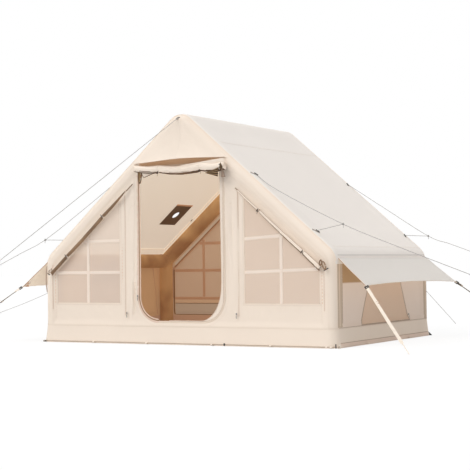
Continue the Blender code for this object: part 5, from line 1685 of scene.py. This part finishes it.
# Hoods
def hood_surface(end):
    """The hood over a gable's top: it lies on the beams and stands out at its lower edge."""
    sign = OUTWARD[end]
    top, bottom = 1.943, 1.595

    def edge_x(z):
        radius = APEX_BEND + 0.040
        rise = z - APEX_CENTRE[1]
        arc_x = np.sqrt(np.maximum(radius**2 - rise**2, 0))
        line_x = (SHARP + 0.040 / math.cos(PITCH) - z) / math.tan(PITCH)
        return np.where(rise > radius * math.cos(PITCH), arc_x, line_x)

    def rest(x, z):
        off = path_offset(x, z)
        beam = FRAME_Y + np.sqrt(np.maximum(SKIN**2 - np.maximum(off, 0) ** 2, 0))
        return np.where(off > 0, beam, WALL_Y) + 0.001

    def surface(u, v, h):
        """u from -1 to 1 across, v from 0 at the top to 1 at the lower edge."""
        u, v, h = as_grids(u, v, h)
        z = top + (bottom - top) * v + 0.006 * v**3 * (1 - u**2)
        if end == "front":
            # the left part of the lower edge hangs a little lower
            z = z - 0.014 * v**3 * smooth((0.25 - u) / 0.9)
        x = u * edge_x(np.minimum(top + (bottom - top) * v, top))
        stand = 0.074 * v**2 * (1 - u**2) + 0.0022 * noise(u * 5, v * 4, 101, 2) * (1 - u**2)
        ridge = 0.0034 * np.exp(-(((u * edge_x(z) - 0.028) / 0.0045) ** 2))
        lip = 0.0016 * np.exp(-(((v - 0.975) / 0.02) ** 2)) * (1 - u**2)
        y = rest(x, z) + 0.0022 + stand + ridge + lip + h
        return np.stack([x, sign * np.minimum(y, 1.0855), z], -1)

    return surface


def make_hood(end):
    """A hood with its bound lower edge."""
    surface = hood_surface(end)
    v = np.linspace(0, 1, 44) ** 1.3
    u = np.linspace(-1, 1, 71)
    uu, vv = grid_of(u, v)
    outer = surface(uu, vv, 0.0).reshape(-1, 3)
    inner = surface(uu, vv, -THICKNESS).reshape(-1, 3)
    hood = Piece(CREAM, CREAM_IN, DARK_EDGE_AND_SHADOW)
    solid_sheet(hood, outer, inner, grid_faces(len(u), len(v)), outer[:, [0, 2]], (CREAM, CREAM_IN, CREAM))
    at = np.linspace(-0.97, 0.97, 70)
    round_tube(hood, surface(at, 0.998, -0.0024), 0.0021, 8, DARK_EDGE_AND_SHADOW)
    made = hood.build(f"{end} hood cloth")
    place(made, "tent", "cream_cloth", f"{end}_gable_hood")


# Awnings, their locks and straps
AWNING_LENGTH, AWNING_HALF, AWNING_PITCH = 0.35, 0.97, math.radians(40.0)


def awning_surface(side):
    """An awning held out from its seam, pulled tight between its corners."""
    hinge = np.array(joint(f"{'right' if side > 0 else 'left'}_awning_hinge")["pos_m"])
    down = np.array([side * math.cos(AWNING_PITCH), 0.0, -math.sin(AWNING_PITCH)])
    normal = np.array([side * math.sin(AWNING_PITCH), 0.0, math.cos(AWNING_PITCH)])

    def surface(u, v, h):
        """u from 0 at the seam to 1 at the free edge, v from -1 to 1 along it."""
        u, v, h = as_grids(u, v, h)
        half = 0.9478 + 0.0472 * u
        length = AWNING_LENGTH - 0.03 * (1 - v**2)
        pull = 0.004 * np.sin(math.pi * u) * np.sqrt(np.maximum(1 - np.abs(v), 0.0))
        wave = 0.0035 * u * noise(u * 2.5, v * 5, 111 if side > 0 else 112, 2)
        corner = 0.004 * u**2 * np.abs(v) ** 6 * np.sin((1 - np.abs(v)) * 60)
        lift = wave - pull + corner + h + 0.0034 * (1 - u) ** 3
        point = hinge + down * (length * u)[..., None] + normal * lift[..., None]
        return point + np.stack([np.zeros_like(u), half * v, np.zeros_like(u)], -1)

    return surface


def make_awning(name, side):
    """An awning with its hem, corner patches and bound edges."""
    surface = awning_surface(side)
    u = np.linspace(0.006, 1, 26)
    v = np.linspace(-1, 1, 120)
    uu, vv = grid_of(u, v)
    outer = surface(uu, vv, 0.0012).reshape(-1, 3)
    inner = surface(uu, vv, -0.0012).reshape(-1, 3)
    awning = Piece(AWNING_TOP, AWNING_IN, WEBBING, BINDING_IN, DARK_EDGE_AND_SHADOW)
    uv = pairs(uu * AWNING_LENGTH, vv * AWNING_HALF)
    solid_sheet(awning, outer, inner, grid_faces(len(u), len(v)), uv, (AWNING_TOP, AWNING_IN, BINDING_IN))

    def in_metres(a, b, h):
        """The awning's surface with both coordinates in metres."""
        return surface(np.asarray(a) / AWNING_LENGTH, np.asarray(b) / AWNING_HALF, h)

    upper, under = layer(in_metres, 0.0012), layer(in_metres, -0.0012, -1)
    rim = AWNING_LENGTH - 0.008
    loop = [(0.010, -0.955), (rim, -0.960), *((rim, b) for b in np.linspace(-0.95, 0.95, 40)), (rim, 0.960)]
    loop.append((0.010, 0.955))
    strip(awning, upper, loop, 0.016, 0.0009, AWNING_TOP)
    sewing = Sewing()
    for w in (-0.005, 0.005):
        sewing.run(upper, loop, STITCH_PITCH, 0.0011, side=w)
    strip(awning, upper, [(0.012, -0.94), (0.012, 0.94)], 0.016, 0.0012, AWNING_TOP)
    strip(awning, under, loop, 0.016, 0.0009, AWNING_IN)
    for sy in (-1, 1):
        line = [(AWNING_LENGTH - 0.06, sy * 0.915), (AWNING_LENGTH - 0.003, sy * 0.966)]
        strip(awning, under, line, 0.024, 0.0024, WEBBING)
        s, t = grid_of(np.linspace(0.02, 1, 9), np.linspace(0, 1, 9))
        corner = pairs(AWNING_LENGTH - 0.003 - 0.080 * s * (1 - t), sy * (0.966 - 0.080 * s * t))
        sheet_on(
            awning, under, corner, grid_faces(9, 9), 0.0014, 0.0003, (BINDING_IN, BINDING_IN, BINDING_IN)
        )
        # the bound edge of the short side
        at = np.linspace(0.02, 0.995, 40)
        round_tube(awning, surface(at, sy * 0.998, -0.0022), 0.0022, 8, DARK_EDGE_AND_SHADOW)
    made = awning.build(f"{name} awning cloth")
    place(made, f"{name}_awning", "roof_cloth", f"{name}_awning")
    sewn = sewing.build(f"{name} awning stitches", STITCH, THREAD)
    place(sewn, f"{name}_awning", "roof_cloth")


def strap_axes(side, end):
    """Where an awning's strap leaves its corner, its way to the ground, its face and its length."""
    hinge = np.array(joint(f"{side}_awning_hinge")["pos_m"])
    sx, sy = ACROSS[side], OUTWARD[end]
    corner = hinge + np.array([sx * math.cos(AWNING_PITCH), 0, -math.sin(AWNING_PITCH)]) * AWNING_LENGTH
    corner[1] = sy * 0.995
    foot = corner + np.array([sx * 0.551, sy * 0.461, 0.0])
    foot[2] = 0.004
    along = unit(foot - corner)
    facing = np.array([sx * 0.49, sy * 0.87, 0.0])
    normal = unit(facing - along * (facing @ along))
    return corner, foot, along, normal, np.cross(along, normal)


def make_lock(side, end):
    """The ladder lock at an awning's corner: bars between two rails, with its webbing."""
    corner, _, along, normal, across = strap_axes(side, end)
    axes = (across, along, normal)
    lock = Piece(BLACK, WEBBING)
    start = corner + along * 0.0005
    for at, wide in ((0.0025, 0.0052), (0.0105, 0.0054), (0.0190, 0.0060), (0.0275, 0.0066)):
        bar = start + along * at + np.outer(np.linspace(-0.0165, 0.0165, 12), across)
        round_tube(lock, bar, wide / 2, 10, BLACK)
    for sense in (-1, 1):
        rail = start + across * (sense * 0.0148) + np.outer(np.linspace(0.001, 0.0290, 12), along)
        round_tube(lock, rail, 0.0034, 10, BLACK)
    box(lock, start + along * 0.0275 + normal * 0.001, axes, (0.034, 0.008, 0.0062))
    # the webbing that holds the lock to the awning and the strap's turn through it
    for way, lift, wide, long, thick in (
        (0.0005, -0.0030, 0.022, 0.014, 0.0014),
        (0.0148, -0.0034, 0.022, 0.0085, 0.0013),
        (0.0233, 0.0036, 0.018, 0.0040, 0.0013),
    ):
        box(lock, start + along * way + normal * lift, axes, (wide, long, thick), slot=WEBBING)
    made = lock.build(f"{end} {side} lock")
    place(made, f"{side}_awning", "black_nylon", f"{end}_{side}_ladder_lock")


STRAP_TURNS = {("front", "left"): -0.84, ("rear", "right"): -0.50}


def make_strap(side, end):
    """An awning's strap from its lock to the ground: flat webbing, then a thin tail."""
    corner, foot, along, normal, across = strap_axes(side, end)
    length = float(np.linalg.norm(foot - corner))
    start, narrow = 0.0308, length * 0.86
    stops = (start, narrow - 0.02, narrow, length - 0.003)
    at = stretches(stops, (90, 8, 24))
    wide = np.interp(at, [*stops[:3], length], [0.0125, 0.0125, 0.0036, 0.0032])
    thick = np.interp(at, [*stops[:3], length], [0.0009, 0.0009, 0.0012, 0.0012])
    seed = 121 + list(ACROSS).index(side) * 2 + list(OUTWARD).index(end)
    slack = (
        0.0022 * np.sin(math.pi * (at - start) / (length - start)) * (1 + 0.4 * noise(at * 6, at * 0, seed))
    )
    line = corner + np.outer(at, along)
    line[:, 2] -= slack
    twist = 0.25 * noise(at * 3.0, at * 0, seed + 5, 2) * np.sin(math.pi * at / length)
    twist += STRAP_TURNS.get((end, side), 0.0) * smooth((at - start - 0.01) / 0.05)
    rings = []
    upper = [(-1, 0.6), (-0.8, 1), (0, 0.8), (0.8, 1), (1, 0.6)]
    section = [(-1, -0.6)] + upper + [(1, -0.6), (0.8, -1), (0, -0.8), (-0.8, -1)]
    for p, w, h, a in zip(line, wide, thick, twist):
        edge_way = across * math.cos(a) + normal * math.sin(a)
        face_way = normal * math.cos(a) - across * math.sin(a)
        rings.append([p + edge_way * w * sx + face_way * h * sz for sx, sz in section])
    points = np.array(rings).reshape(-1, 3)
    points[:, 2] = np.maximum(points[:, 2], 0.0012)
    uv = np.stack(
        [np.array([[w * sx for sx, _ in section] for w in wide]), np.repeat(at[:, None], len(section), 1)], -1
    ).reshape(-1, 2)
    strap = Piece(WEBBING, STRAP_UNDERSIDE_SHADE, DARK_EDGE_AND_SHADOW)
    # painted shade: the lower half of each ring of the strap takes the dark underside finish
    sides = np.tile([0] * 6 + [1] * 4, len(at) - 1)
    tube(strap, points, len(at), len(section), uv, sides, end_slot=0)
    # a sewn tab on one edge
    tab = start + 0.27 * (narrow - start)
    spot = np.array([np.interp(tab, at, line[:, k]) for k in range(3)])
    edge = across * np.sign(across @ [0.864, 0.504, 0.0])
    axes = (edge, along, normal)
    box(strap, spot + edge * 0.0105 + normal * 0.0006, axes, (0.0090, 0.020, 0.0034), WEBBING)
    for shift in (-0.012, 0.012):
        box(
            strap, spot + edge * 0.0100 + along * shift + normal * 0.0006, axes, (0.0100, 0.0035, 0.0040),
            DARK_EDGE_AND_SHADOW,
        )
    # a second layer near the top, where the strap turns back through the lock, and its sewn end
    back = np.linspace(start + 0.002, start + (0.05 if (end, side) in STRAP_TURNS else 0.13), 30)
    lift = 0.0016 + 0.0016 * np.sin(np.linspace(0, math.pi, 30))
    lay = corner + np.outer(back, along) + np.outer(lift, normal)
    lay[:, 2] -= 0.001
    section = ((-0.012, 0), (-0.012, 0.0013), (0.012, 0.0013), (0.012, 0))
    rings = np.stack([lay + across * w + normal * h for w, h in section], 1)
    uv = np.tile([[0, 0], [0, 0.001], [0.02, 0.001], [0.02, 0]], (30, 1))
    uv = uv + np.stack([np.zeros(120), np.repeat(back, 4)], 1)
    tube(strap, rings.reshape(-1, 3), 30, 4, uv)
    made = strap.build(f"{end} {side} strap")
    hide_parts(f"{end}_{side}_awning_strap")
    tuple(foot)
    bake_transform(made)
    tuple(line[0])
    [list(map(float, p)) for p in line]


# Guy lines
GUY_WAYS = {
    "front_right_guy": [
        (0.222, 0.010, -0.147), (0.826, 0.025, -0.446), (1.333, 0.005, -0.652), (1.905, -0.020, -0.872)
    ],
    "front_left_guy": [
        (0.429, 0.005, -0.272), (0.867, 0.025, -0.545), (1.166, 0.025, -0.669), (1.460, 0.025, -0.790)
    ],
    "rear_right_guy": [
        (0.378, 0.025, -0.243), (0.806, 0.045, -0.515), (1.018, 0.040, -0.591), (1.251, 0.035, -0.676)
    ],
    "rear_left_guy": [
        (0.400, 0.020, -0.262), (0.810, 0.035, -0.518), (2.328, -0.025, -1.081), (2.955, -0.065, -1.288)
    ],
}
APEX_WAYS = {"front": (-0.46, 1.857, -1.2445), "rear": (0.939, 2.161, -1.9605)}


def spline(route, step):
    """Evenly spread points on a smooth curve through a route's points."""
    route = [np.asarray(p, float) for p in route]
    route = [route[0] * 2 - route[1]] + route + [route[-1] * 2 - route[-2]]
    fine = []
    for a, b, c, d in zip(route, route[1:], route[2:], route[3:]):
        for t in np.arange(40) / 40:
            square, cube = a * 2 - b * 5 + c * 4 - d, b * 3 - a - c * 3 + d
            fine.append(0.5 * (b * 2 + (c - a) * t + square * t**2 + cube * t**3))
    fine.append(route[-2])
    return even_line(np.array(fine), step)


def make_rope(fittings, name, node_name, route, far_end):
    """A twisted guy line along a route, with a knot at its end where far_end says so."""
    points = spline(route, 0.004)
    rope = Piece(ROPE)

    def strands(turn, run):
        return 1.0 - 0.16 * np.abs(np.sin(turn * 1.5 + run * 2 * math.pi / 0.016)) ** 0.7

    round_tube(rope, points, 0.0027, 12, ROPE, strands)
    if far_end == "knot":
        hitch(fittings, points[-8], points[-1] - points[-9])
    made = rope.build(name)
    place(made, "tent", "guy_rope", node_name)
    return points


def hitch(piece, at, along, size=0.0052):
    """A small overhand knot round the line."""
    along = unit(along)
    a = unit(np.cross(along, [0.2, 0.1, 0.9]))
    b = np.cross(along, a)
    t = np.linspace(0, 2 * math.pi, 60)
    turn = at + np.outer(np.sin(t) + 2 * np.sin(2 * t), a) * size * 0.42
    turn = turn + np.outer(np.cos(t) - 2 * np.cos(2 * t), b) * size * 0.42
    turn = turn + np.outer(-np.sin(3 * t), along) * size * 0.9
    round_tube(piece, turn, 0.0024, 10, 0)


def seated(surface, normal, toward):
    """The middle of a line's end where it touches a surface and leaves toward a point."""
    along = unit(toward - surface)
    spread = math.sqrt(max(0.0, 1 - float(along @ normal) ** 2))
    return surface + normal * (0.0025 * spread + 0.0003)


def roof_seat(side, outward, share):
    """The place of a guy line's start on the roof, and the way out of the roof there."""
    x = ACROSS[side] * share * KNEE_X
    y = outward * (FRAME_Y - BEAM_R * math.tan(math.pi / 12) - 0.008)
    normal = np.array([ACROSS[side] * math.sin(PITCH), 0.0, math.cos(PITCH)])
    return np.array([x, y, float(slope_height(x, SKIN))]), normal


def make_guys():
    """The guy lines, their branches, and the knots and toggles on them."""
    fittings = Piece(ROPE, BLACK)
    for end, way in APEX_WAYS.items():
        sign = OUTWARD[end]
        lean = math.pi / 3
        reach = (BEAM_R - 0.036 * math.cos(lean)) / math.sin(lean)
        at = np.array([0.0, sign * (FRAME_Y + reach), RIDGE_CENTRE + 0.036])
        normal = np.array([0.0, sign * math.sin(lean), math.cos(lean)])
        far = at + np.array([way[0], sign * way[1], way[2]])
        far_end = "knot" if end == "front" else "bare"
        route = [seated(at, normal, far), far]
        points = make_rope(fittings, f"{end} apex guy line", f"{end}_apex_guy", route, far_end)
        hitch(fittings, points[6], points[8] - points[6], 0.006)
        loop = at + np.outer(np.linspace(-1, 1, 9), [0.011, 0, 0])
        round_tube(fittings, loop + normal * 0.002, 0.0040, 10, BLACK)
    for name, ways in GUY_WAYS.items():
        end, side = name.split("_")[:2]
        across, outward = ACROSS[side], OUTWARD[end]
        share, branch_share = GUY_SHARES[name]
        at, normal = roof_seat(side, outward, share)
        route = [at + np.array([across * x, outward * y, z]) for x, y, z in ways]
        way = [seated(at, normal, route[0]), *route]
        points = make_rope(fittings, f"{end} {side} guy line", name, way, "knot")
        knot = route[1]
        near = int(np.argmin(np.linalg.norm(points - knot, axis=1)))
        hitch(fittings, points[near], points[near + 2] - points[near - 2], 0.007)
        tail = points[near] + np.outer(np.linspace(0, 1, 8), [across * 0.003, 0, -0.030])
        round_tube(fittings, tail, 0.0023, 8, ROPE)
        at, normal = roof_seat(side, outward, branch_share)
        start = seated(at, normal, knot)
        back = unit(start - knot)
        line = unit(route[2] - route[0])
        angle = math.acos(float(back @ line))
        stop = knot + back * ((0.0025 * (1 + abs(math.cos(angle))) + 0.0006) / math.sin(angle))
        make_rope(fittings, f"{end} {side} branch line", f"{name}_branch", [start, stop], "object")
    made = fittings.build("guy knots")
    place(made, "tent", "guy_rope")


# Sliders, valve and loops
def make_slider(name, body, along, normal):
    """A zip slider on its body, with its bridge and pull."""
    low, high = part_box(body)
    middle = (np.array(low) + np.array(high)) / 2
    along, normal = np.asarray(along, float), np.asarray(normal, float)
    across = np.cross(along, normal)
    axes = (across, along, normal)
    top = middle + along * 0.025 - normal * 0.0025
    piece = Piece(ZIP_METAL)
    base = top - along * 0.009
    box(piece, base + normal * 0.0012, axes, (0.0118, 0.0165, 0.0022), bevel=0.2)
    box(piece, base + normal * 0.0030, axes, (0.0085, 0.0145, 0.0016), bevel=0.3)
    lift = 0.0028 + 0.0018 * np.sin(np.linspace(0, math.pi, 12))
    bridge = base + np.outer(np.linspace(-0.007, 0.007, 12), along) + np.outer(lift, normal)
    round_tube(piece, bridge, 0.0011, 10)
    t = np.linspace(0, 2 * math.pi, 40)
    pull = ring_points(top - along * 0.033 + normal * 0.0034, t, 0.0155, along, across, 0.0026)
    round_tube(piece, pull, 0.0009, 8)
    box(piece, top - along * 0.036 + normal * 0.0034, axes, (0.0058, 0.022, 0.0012), bevel=0.3)
    made = piece.build(name)
    place(made, body, "zip_metal", body)


def make_sliders():
    """The sliders of the doors, the front windows' covers and the side nets."""
    up = (0.0, 0.0, 1.0)
    for end, sign in OUTWARD.items():
        make_slider(f"{end} door zip slider", f"{end}_door_slider", up, (0.0, sign, 0.0))
    for side, sign in ACROSS.items():
        make_slider(f"front {side} window zip slider", f"front_{side}_window_slider", up, (0.0, -1.0, 0.0))
        axis = joint(f"{side}_side_slider_run")["axis"]
        make_slider(f"{side} side zip slider", f"{side}_side_slider", axis, (sign, 0.0, 0.0))


def make_valve():
    """The air valve on the rear left post, with its plunger and cap."""
    lean = math.radians(30)
    normal = np.array([-math.sin(lean), math.cos(lean), 0.0])
    origin = np.array([-KNEE_X, FRAME_Y, 0.32]) + normal * BEAM_R
    body = Piece(BLACK)
    profile = [(0.0072, -0.022), (0.0108, -0.022), (0.0108, 0.0003), (0.0165, 0.0003), (0.018, 0.0012)]
    profile += [(0.018, 0.0024), (0.0172, 0.0033), (0.0118, 0.0033), (0.0110, 0.0040), (0.0110, 0.0066)]
    profile += [(0.0104, 0.0073), (0.0072, 0.0073)]
    lathe(body, profile + profile[:1], origin, normal, 48)
    up = np.array([0.0, 0.0, 1.0])
    across = np.cross(up, normal)
    for sense in (-1, 1):
        box(
            body, origin + across * sense * 0.0063 + up * 0.0158 + normal * 0.0066, (across, up, normal),
            (0.0038, 0.0034, 0.0080), bevel=0.2,
        )

    def ribs(piece, count, limit, reach, lift, size):
        """Small ribs round the valve, but not where its hinge is."""
        for k in range(count):
            a = k * 2 * math.pi / count
            out = across * math.cos(a) + up * math.sin(a)
            if math.sin(a) < limit:
                box(
                    piece, origin + out * reach + normal * lift, (np.cross(normal, out), out, normal), size,
                    bevel=0.3,
                )

    ribs(body, 12, 0.8, 0.0145, 0.0035, (0.0016, 0.0045, 0.0008))
    made = body.build("valve body moulding")
    place(made, "tent", "black_nylon", "valve_body")
    press = Piece(BLACK)
    profile = [(0.0066, 0.0003), (0.0067, 0.0008), (0.0067, 0.0030), (0.0060, 0.0033)]
    profile += [(0.0026, 0.0033), (0.0024, 0.0068), (0.0016, 0.0070)]
    lathe(press, profile, origin, normal, 32)
    made = press.build("valve plunger moulding")
    place(made, "valve_plunger", "black_nylon", "valve_plunger")
    cap = Piece(BLACK)
    profile = [(0.002, 0.0076), (0.0128, 0.0076), (0.0132, 0.0082), (0.0132, 0.0104)]
    profile += [(0.0124, 0.0111), (0.009, 0.0111), (0.0085, 0.0106), (0.002, 0.0106)]
    lathe(cap, profile, origin, normal, 48)
    ribs(cap, 28, 0.9, 0.0130, 0.0093, (0.0010, 0.0008, 0.0026))
    box(
        cap, origin + up * 0.0128 + normal * 0.0093, (across, up, normal), (0.0078, 0.0050, 0.0030), bevel=0.2
    )
    barrel = origin + up * 0.0158 + normal * 0.0098 + np.outer(np.linspace(-0.0039, 0.0039, 6), across)
    round_tube(cap, barrel, 0.0021, 16)
    made = cap.build("valve cap moulding")
    place(made, "valve_cap", "black_nylon", "valve_cap")


def make_loops():
    """Webbing loops along the foot of the tent, for pegs."""
    loops = Piece(WEBBING, WEBBING_GREY, BLACK)
    right, back, up = np.eye(3)
    t = np.linspace(0, 2 * math.pi, 22)
    places = [
        (x * right - (BASE_Y + 0.010) * back, -back, right)
        for x in (-1.455, -0.90, -0.33, 0.335, 0.90, 1.455)
    ]
    places += [(x * right + (BASE_Y + 0.010) * back, back, right) for x in (-1.455, -0.5, 0.5, 1.455)]
    places += [
        (sx * (BASE_X + 0.010) * right + y * back, sx * right, back) for sx in (-1, 1) for y in (-0.45, 0.45)
    ]
    for k, (centre, out, width) in enumerate(places):
        ring = ring_points(centre + 0.010 * up, t, 0.013, out, up, 0.013 * 0.55)
        band_ring(loops, ring, width, 0.018, 0.0007, WEBBING_GREY if k == 0 else WEBBING)
    # the tab at the rear right corner and the dark ends of the front loops
    wedge = np.array([(0.0, 0.040), (0.0, 0.001), (0.038, 0.001), (0.032, 0.009)])
    flat = (
        np.array([1.480, 0.9745, 0.0]) + np.outer(wedge[:, 0], [0.864, 0.504, 0.0])
        + np.outer(wedge[:, 1], up)
    )
    thick = np.array([0.504, -0.864, 0.0]) * 0.003
    tube(loops, np.concatenate([flat - thick, flat + thick]), 2, 4, np.concatenate([wedge, wedge]), BLACK)
    for x, tall, wide in ((0.452, 0.020, 0.012), (1.492, 0.034, 0.009)):
        box(loops, (x, -BASE_Y - 0.003, 0.004 + tall / 2), (right, back, up), (wide, 0.005, tall), BLACK)
    ring = ring_points(np.array([1.512, -BASE_Y + 0.014, 0.016]), t, 1.0, [0.016, -0.006, 0], [0, 0, 0.015])
    band_ring(loops, ring, unit([0.35, 0.94, 0]), 0.012, 0.0008, WEBBING)
    made = loops.build("peg loops")
    place(made, "tent", "strap_webbing")


# Camera first, then the cords, then the rest
def make_camera():
    """The camera that was fitted to the photo."""
    yaw, pitch, roll = 0.5280, 0.0228, -0.0128
    forward = Vector((-math.sin(yaw) * math.cos(pitch), math.cos(yaw) * math.cos(pitch), math.sin(pitch)))
    right = Vector((math.cos(yaw), math.sin(yaw), 0.0))
    up = right.cross(forward)
    r = right * math.cos(roll) + up * math.sin(roll)
    u = up * math.cos(roll) - right * math.sin(roll)
    turn = Matrix((r, u, -forward)).transposed().to_4x4()
    data = bpy.data.cameras.new("camera")
    data.sensor_width = 36.0
    data.lens = 36.0 * 1282.6 / 470
    data.clip_start, data.clip_end = 0.1, 200.0
    camera = bpy.data.objects.new("camera", data)
    camera.matrix_world = Matrix.Translation((5.9857, -10.3131, 0.6882)) @ turn
    bpy.context.scene.collection.objects.link(camera)
    bpy.context.scene.camera = camera


def camera_rays(tree):
    """One where a ray comes from the camera, also by way of a mirror or a clear surface."""
    rays = node(tree, "ShaderNodeLightPath").outputs
    total = rays["Is Camera Ray"]
    for name in ("Is Glossy Ray", "Is Transmission Ray"):
        total = maths(tree, "ADD", total, rays[name], clamp=True)
    return total


WORLD_STRENGTH = 0.45
KEY_POWER = 1.35
TOP_POWER = 1.07
FLOOR_WHITE = 0.8


def make_light():
    """A soft white studio with two lamps and a floor."""
    scene = bpy.context.scene
    world = bpy.data.worlds.new("soft studio")
    scene.world = world
    world.use_nodes = True
    tree = world.node_tree
    back = tree.nodes["Background"]
    back.inputs["Color"].default_value = (1.0, 0.99, 0.98, 1)
    back.inputs["Strength"].default_value = WORLD_STRENGTH
    plain = node(tree, "ShaderNodeBackground", Color=(1, 1, 1, 1), Strength=1.0)
    mix = node(tree, "ShaderNodeMixShader", {0: camera_rays(tree), 1: back.outputs[0], 2: plain.outputs[0]})
    tree.links.new(mix.outputs[0], tree.nodes["World Output"].inputs["Surface"])
    for name, toward, power in (
        ("key", (-0.35, -0.65, 0.67), KEY_POWER), ("top", (0.35, 0.0, 1.0), TOP_POWER)
    ):
        data = bpy.data.lights.new(name, "SUN")
        data.energy, data.angle = power, math.radians(40)
        lamp = bpy.data.objects.new(name, data)
        lamp.rotation_euler = Vector(toward).to_track_quat("Z", "Y").to_euler()
        lamp.location = Vector(toward) * 6
        scene.collection.objects.link(lamp)
    mesh = bpy.data.meshes.new("ground")
    mesh.from_pydata([(-60, -60, 0), (60, -60, 0), (60, 60, 0), (-60, 60, 0)], [], [(0, 1, 2, 3)])
    ground = bpy.data.objects.new("ground", mesh)
    ground.location.z = -0.0005
    scene.collection.objects.link(ground)
    # the floor looks almost white to the camera, and its own grey still lights the tent
    made, tree, shader = finish_base("Studio floor", 0.9)
    shader.inputs["Base Color"].default_value = (0.75, 0.75, 0.75, 1)
    glow = node(tree, "ShaderNodeEmission", Strength=1.06)
    share = maths(tree, "MULTIPLY", camera_rays(tree), FLOOR_WHITE)
    mix = node(tree, "ShaderNodeMixShader", {0: share, 1: shader.outputs[0], 2: glow.outputs[0]})
    tree.links.new(mix.outputs[0], tree.nodes["Material Output"].inputs["Surface"])
    mesh.materials.append(made)
    scene.view_settings.view_transform = "Standard"


make_camera()
make_guys()
for side_name in ACROSS:
    for end_name in OUTWARD:
        make_strap(side_name, end_name)
make_light()
for end_name in OUTWARD:
    make_frame_sleeve(end_name)
    make_gable(end_name)
    make_hood(end_name)
make_rear_door()
for side_name, side_sign in ACROSS.items():
    bisect = KNEE_TURN / 2
    centre = KNEE_CENTRE + (KNEE_BEND - 0.0028) * np.array([math.cos(bisect), math.sin(bisect)])
    make_long_beam(
        f"{side_name} eave beam cloth", f"{side_name}_eave_beam", (side_sign * centre[0], centre[1])
    )
    make_roof(side_name)
    make_side(side_name)
    make_awning(side_name, side_sign)
    for end_name in OUTWARD:
        make_lock(side_name, end_name)
make_long_beam("ridge beam cloth", "ridge_beam", (0.0, RIDGE_CENTRE - 0.0028))
make_jack()
make_base()
for end_name, end_sign in OUTWARD.items():
    for side_name, side_sign in ACROSS.items():
        if side_name == "left":
            reach, ties, shade_from = (0.55, 1.38), (0.30, 0.785), -25
            thick = [(0, 0.35), (0.12, 0.75), (0.30, 1.0), (1, 1.0)]
        else:
            reach, ties, shade_from = (0.575, 1.358), (0.286, 0.802), 10
            thick = [(0, 0.45), (0.5, 0.80), (1, 1.15)]
        y = end_sign * (WALL_Y + 0.0193)
        ends = [(side_sign * x, y, float(slope_height(x, -0.10))) for x in reach]
        roll_name = f"{end_name} {side_name} window roll"
        node_name = roll_name.replace(" ", "_")
        cloth_roll(f"{roll_name} cloth", node_name, *ends, 0.019, ties, 131, window_bunch, shade_from, thick)
ends = (-0.43, -1.0433, 1.534), (0.485, -1.0433, 1.534)
thick = [(0, 0.82), (0.3, 0.97), (0.5, 1.06), (0.7, 1.05), (1, 1.0)]
cloth_roll(
    "door roll cloth", "front_door_roll", *ends, 0.038, (0.281, 0.748), 141, door_bunch, 34, thick,
    sag=0.020, pinched=0.08, lining=DOOR_LINING_AND_UNDERSIDE_SHADE, wander=3, lowered=0.0125,
)
make_sliders()
make_valve()
make_loops()
for area, sewing in SEWN.items():
    place(sewing.build(f"{area} stitches", STITCH, THREAD), "tent", "cream_cloth")
place(TEETH.build("zip teeth", TOOTH, COIL), "tent", "zip_metal")
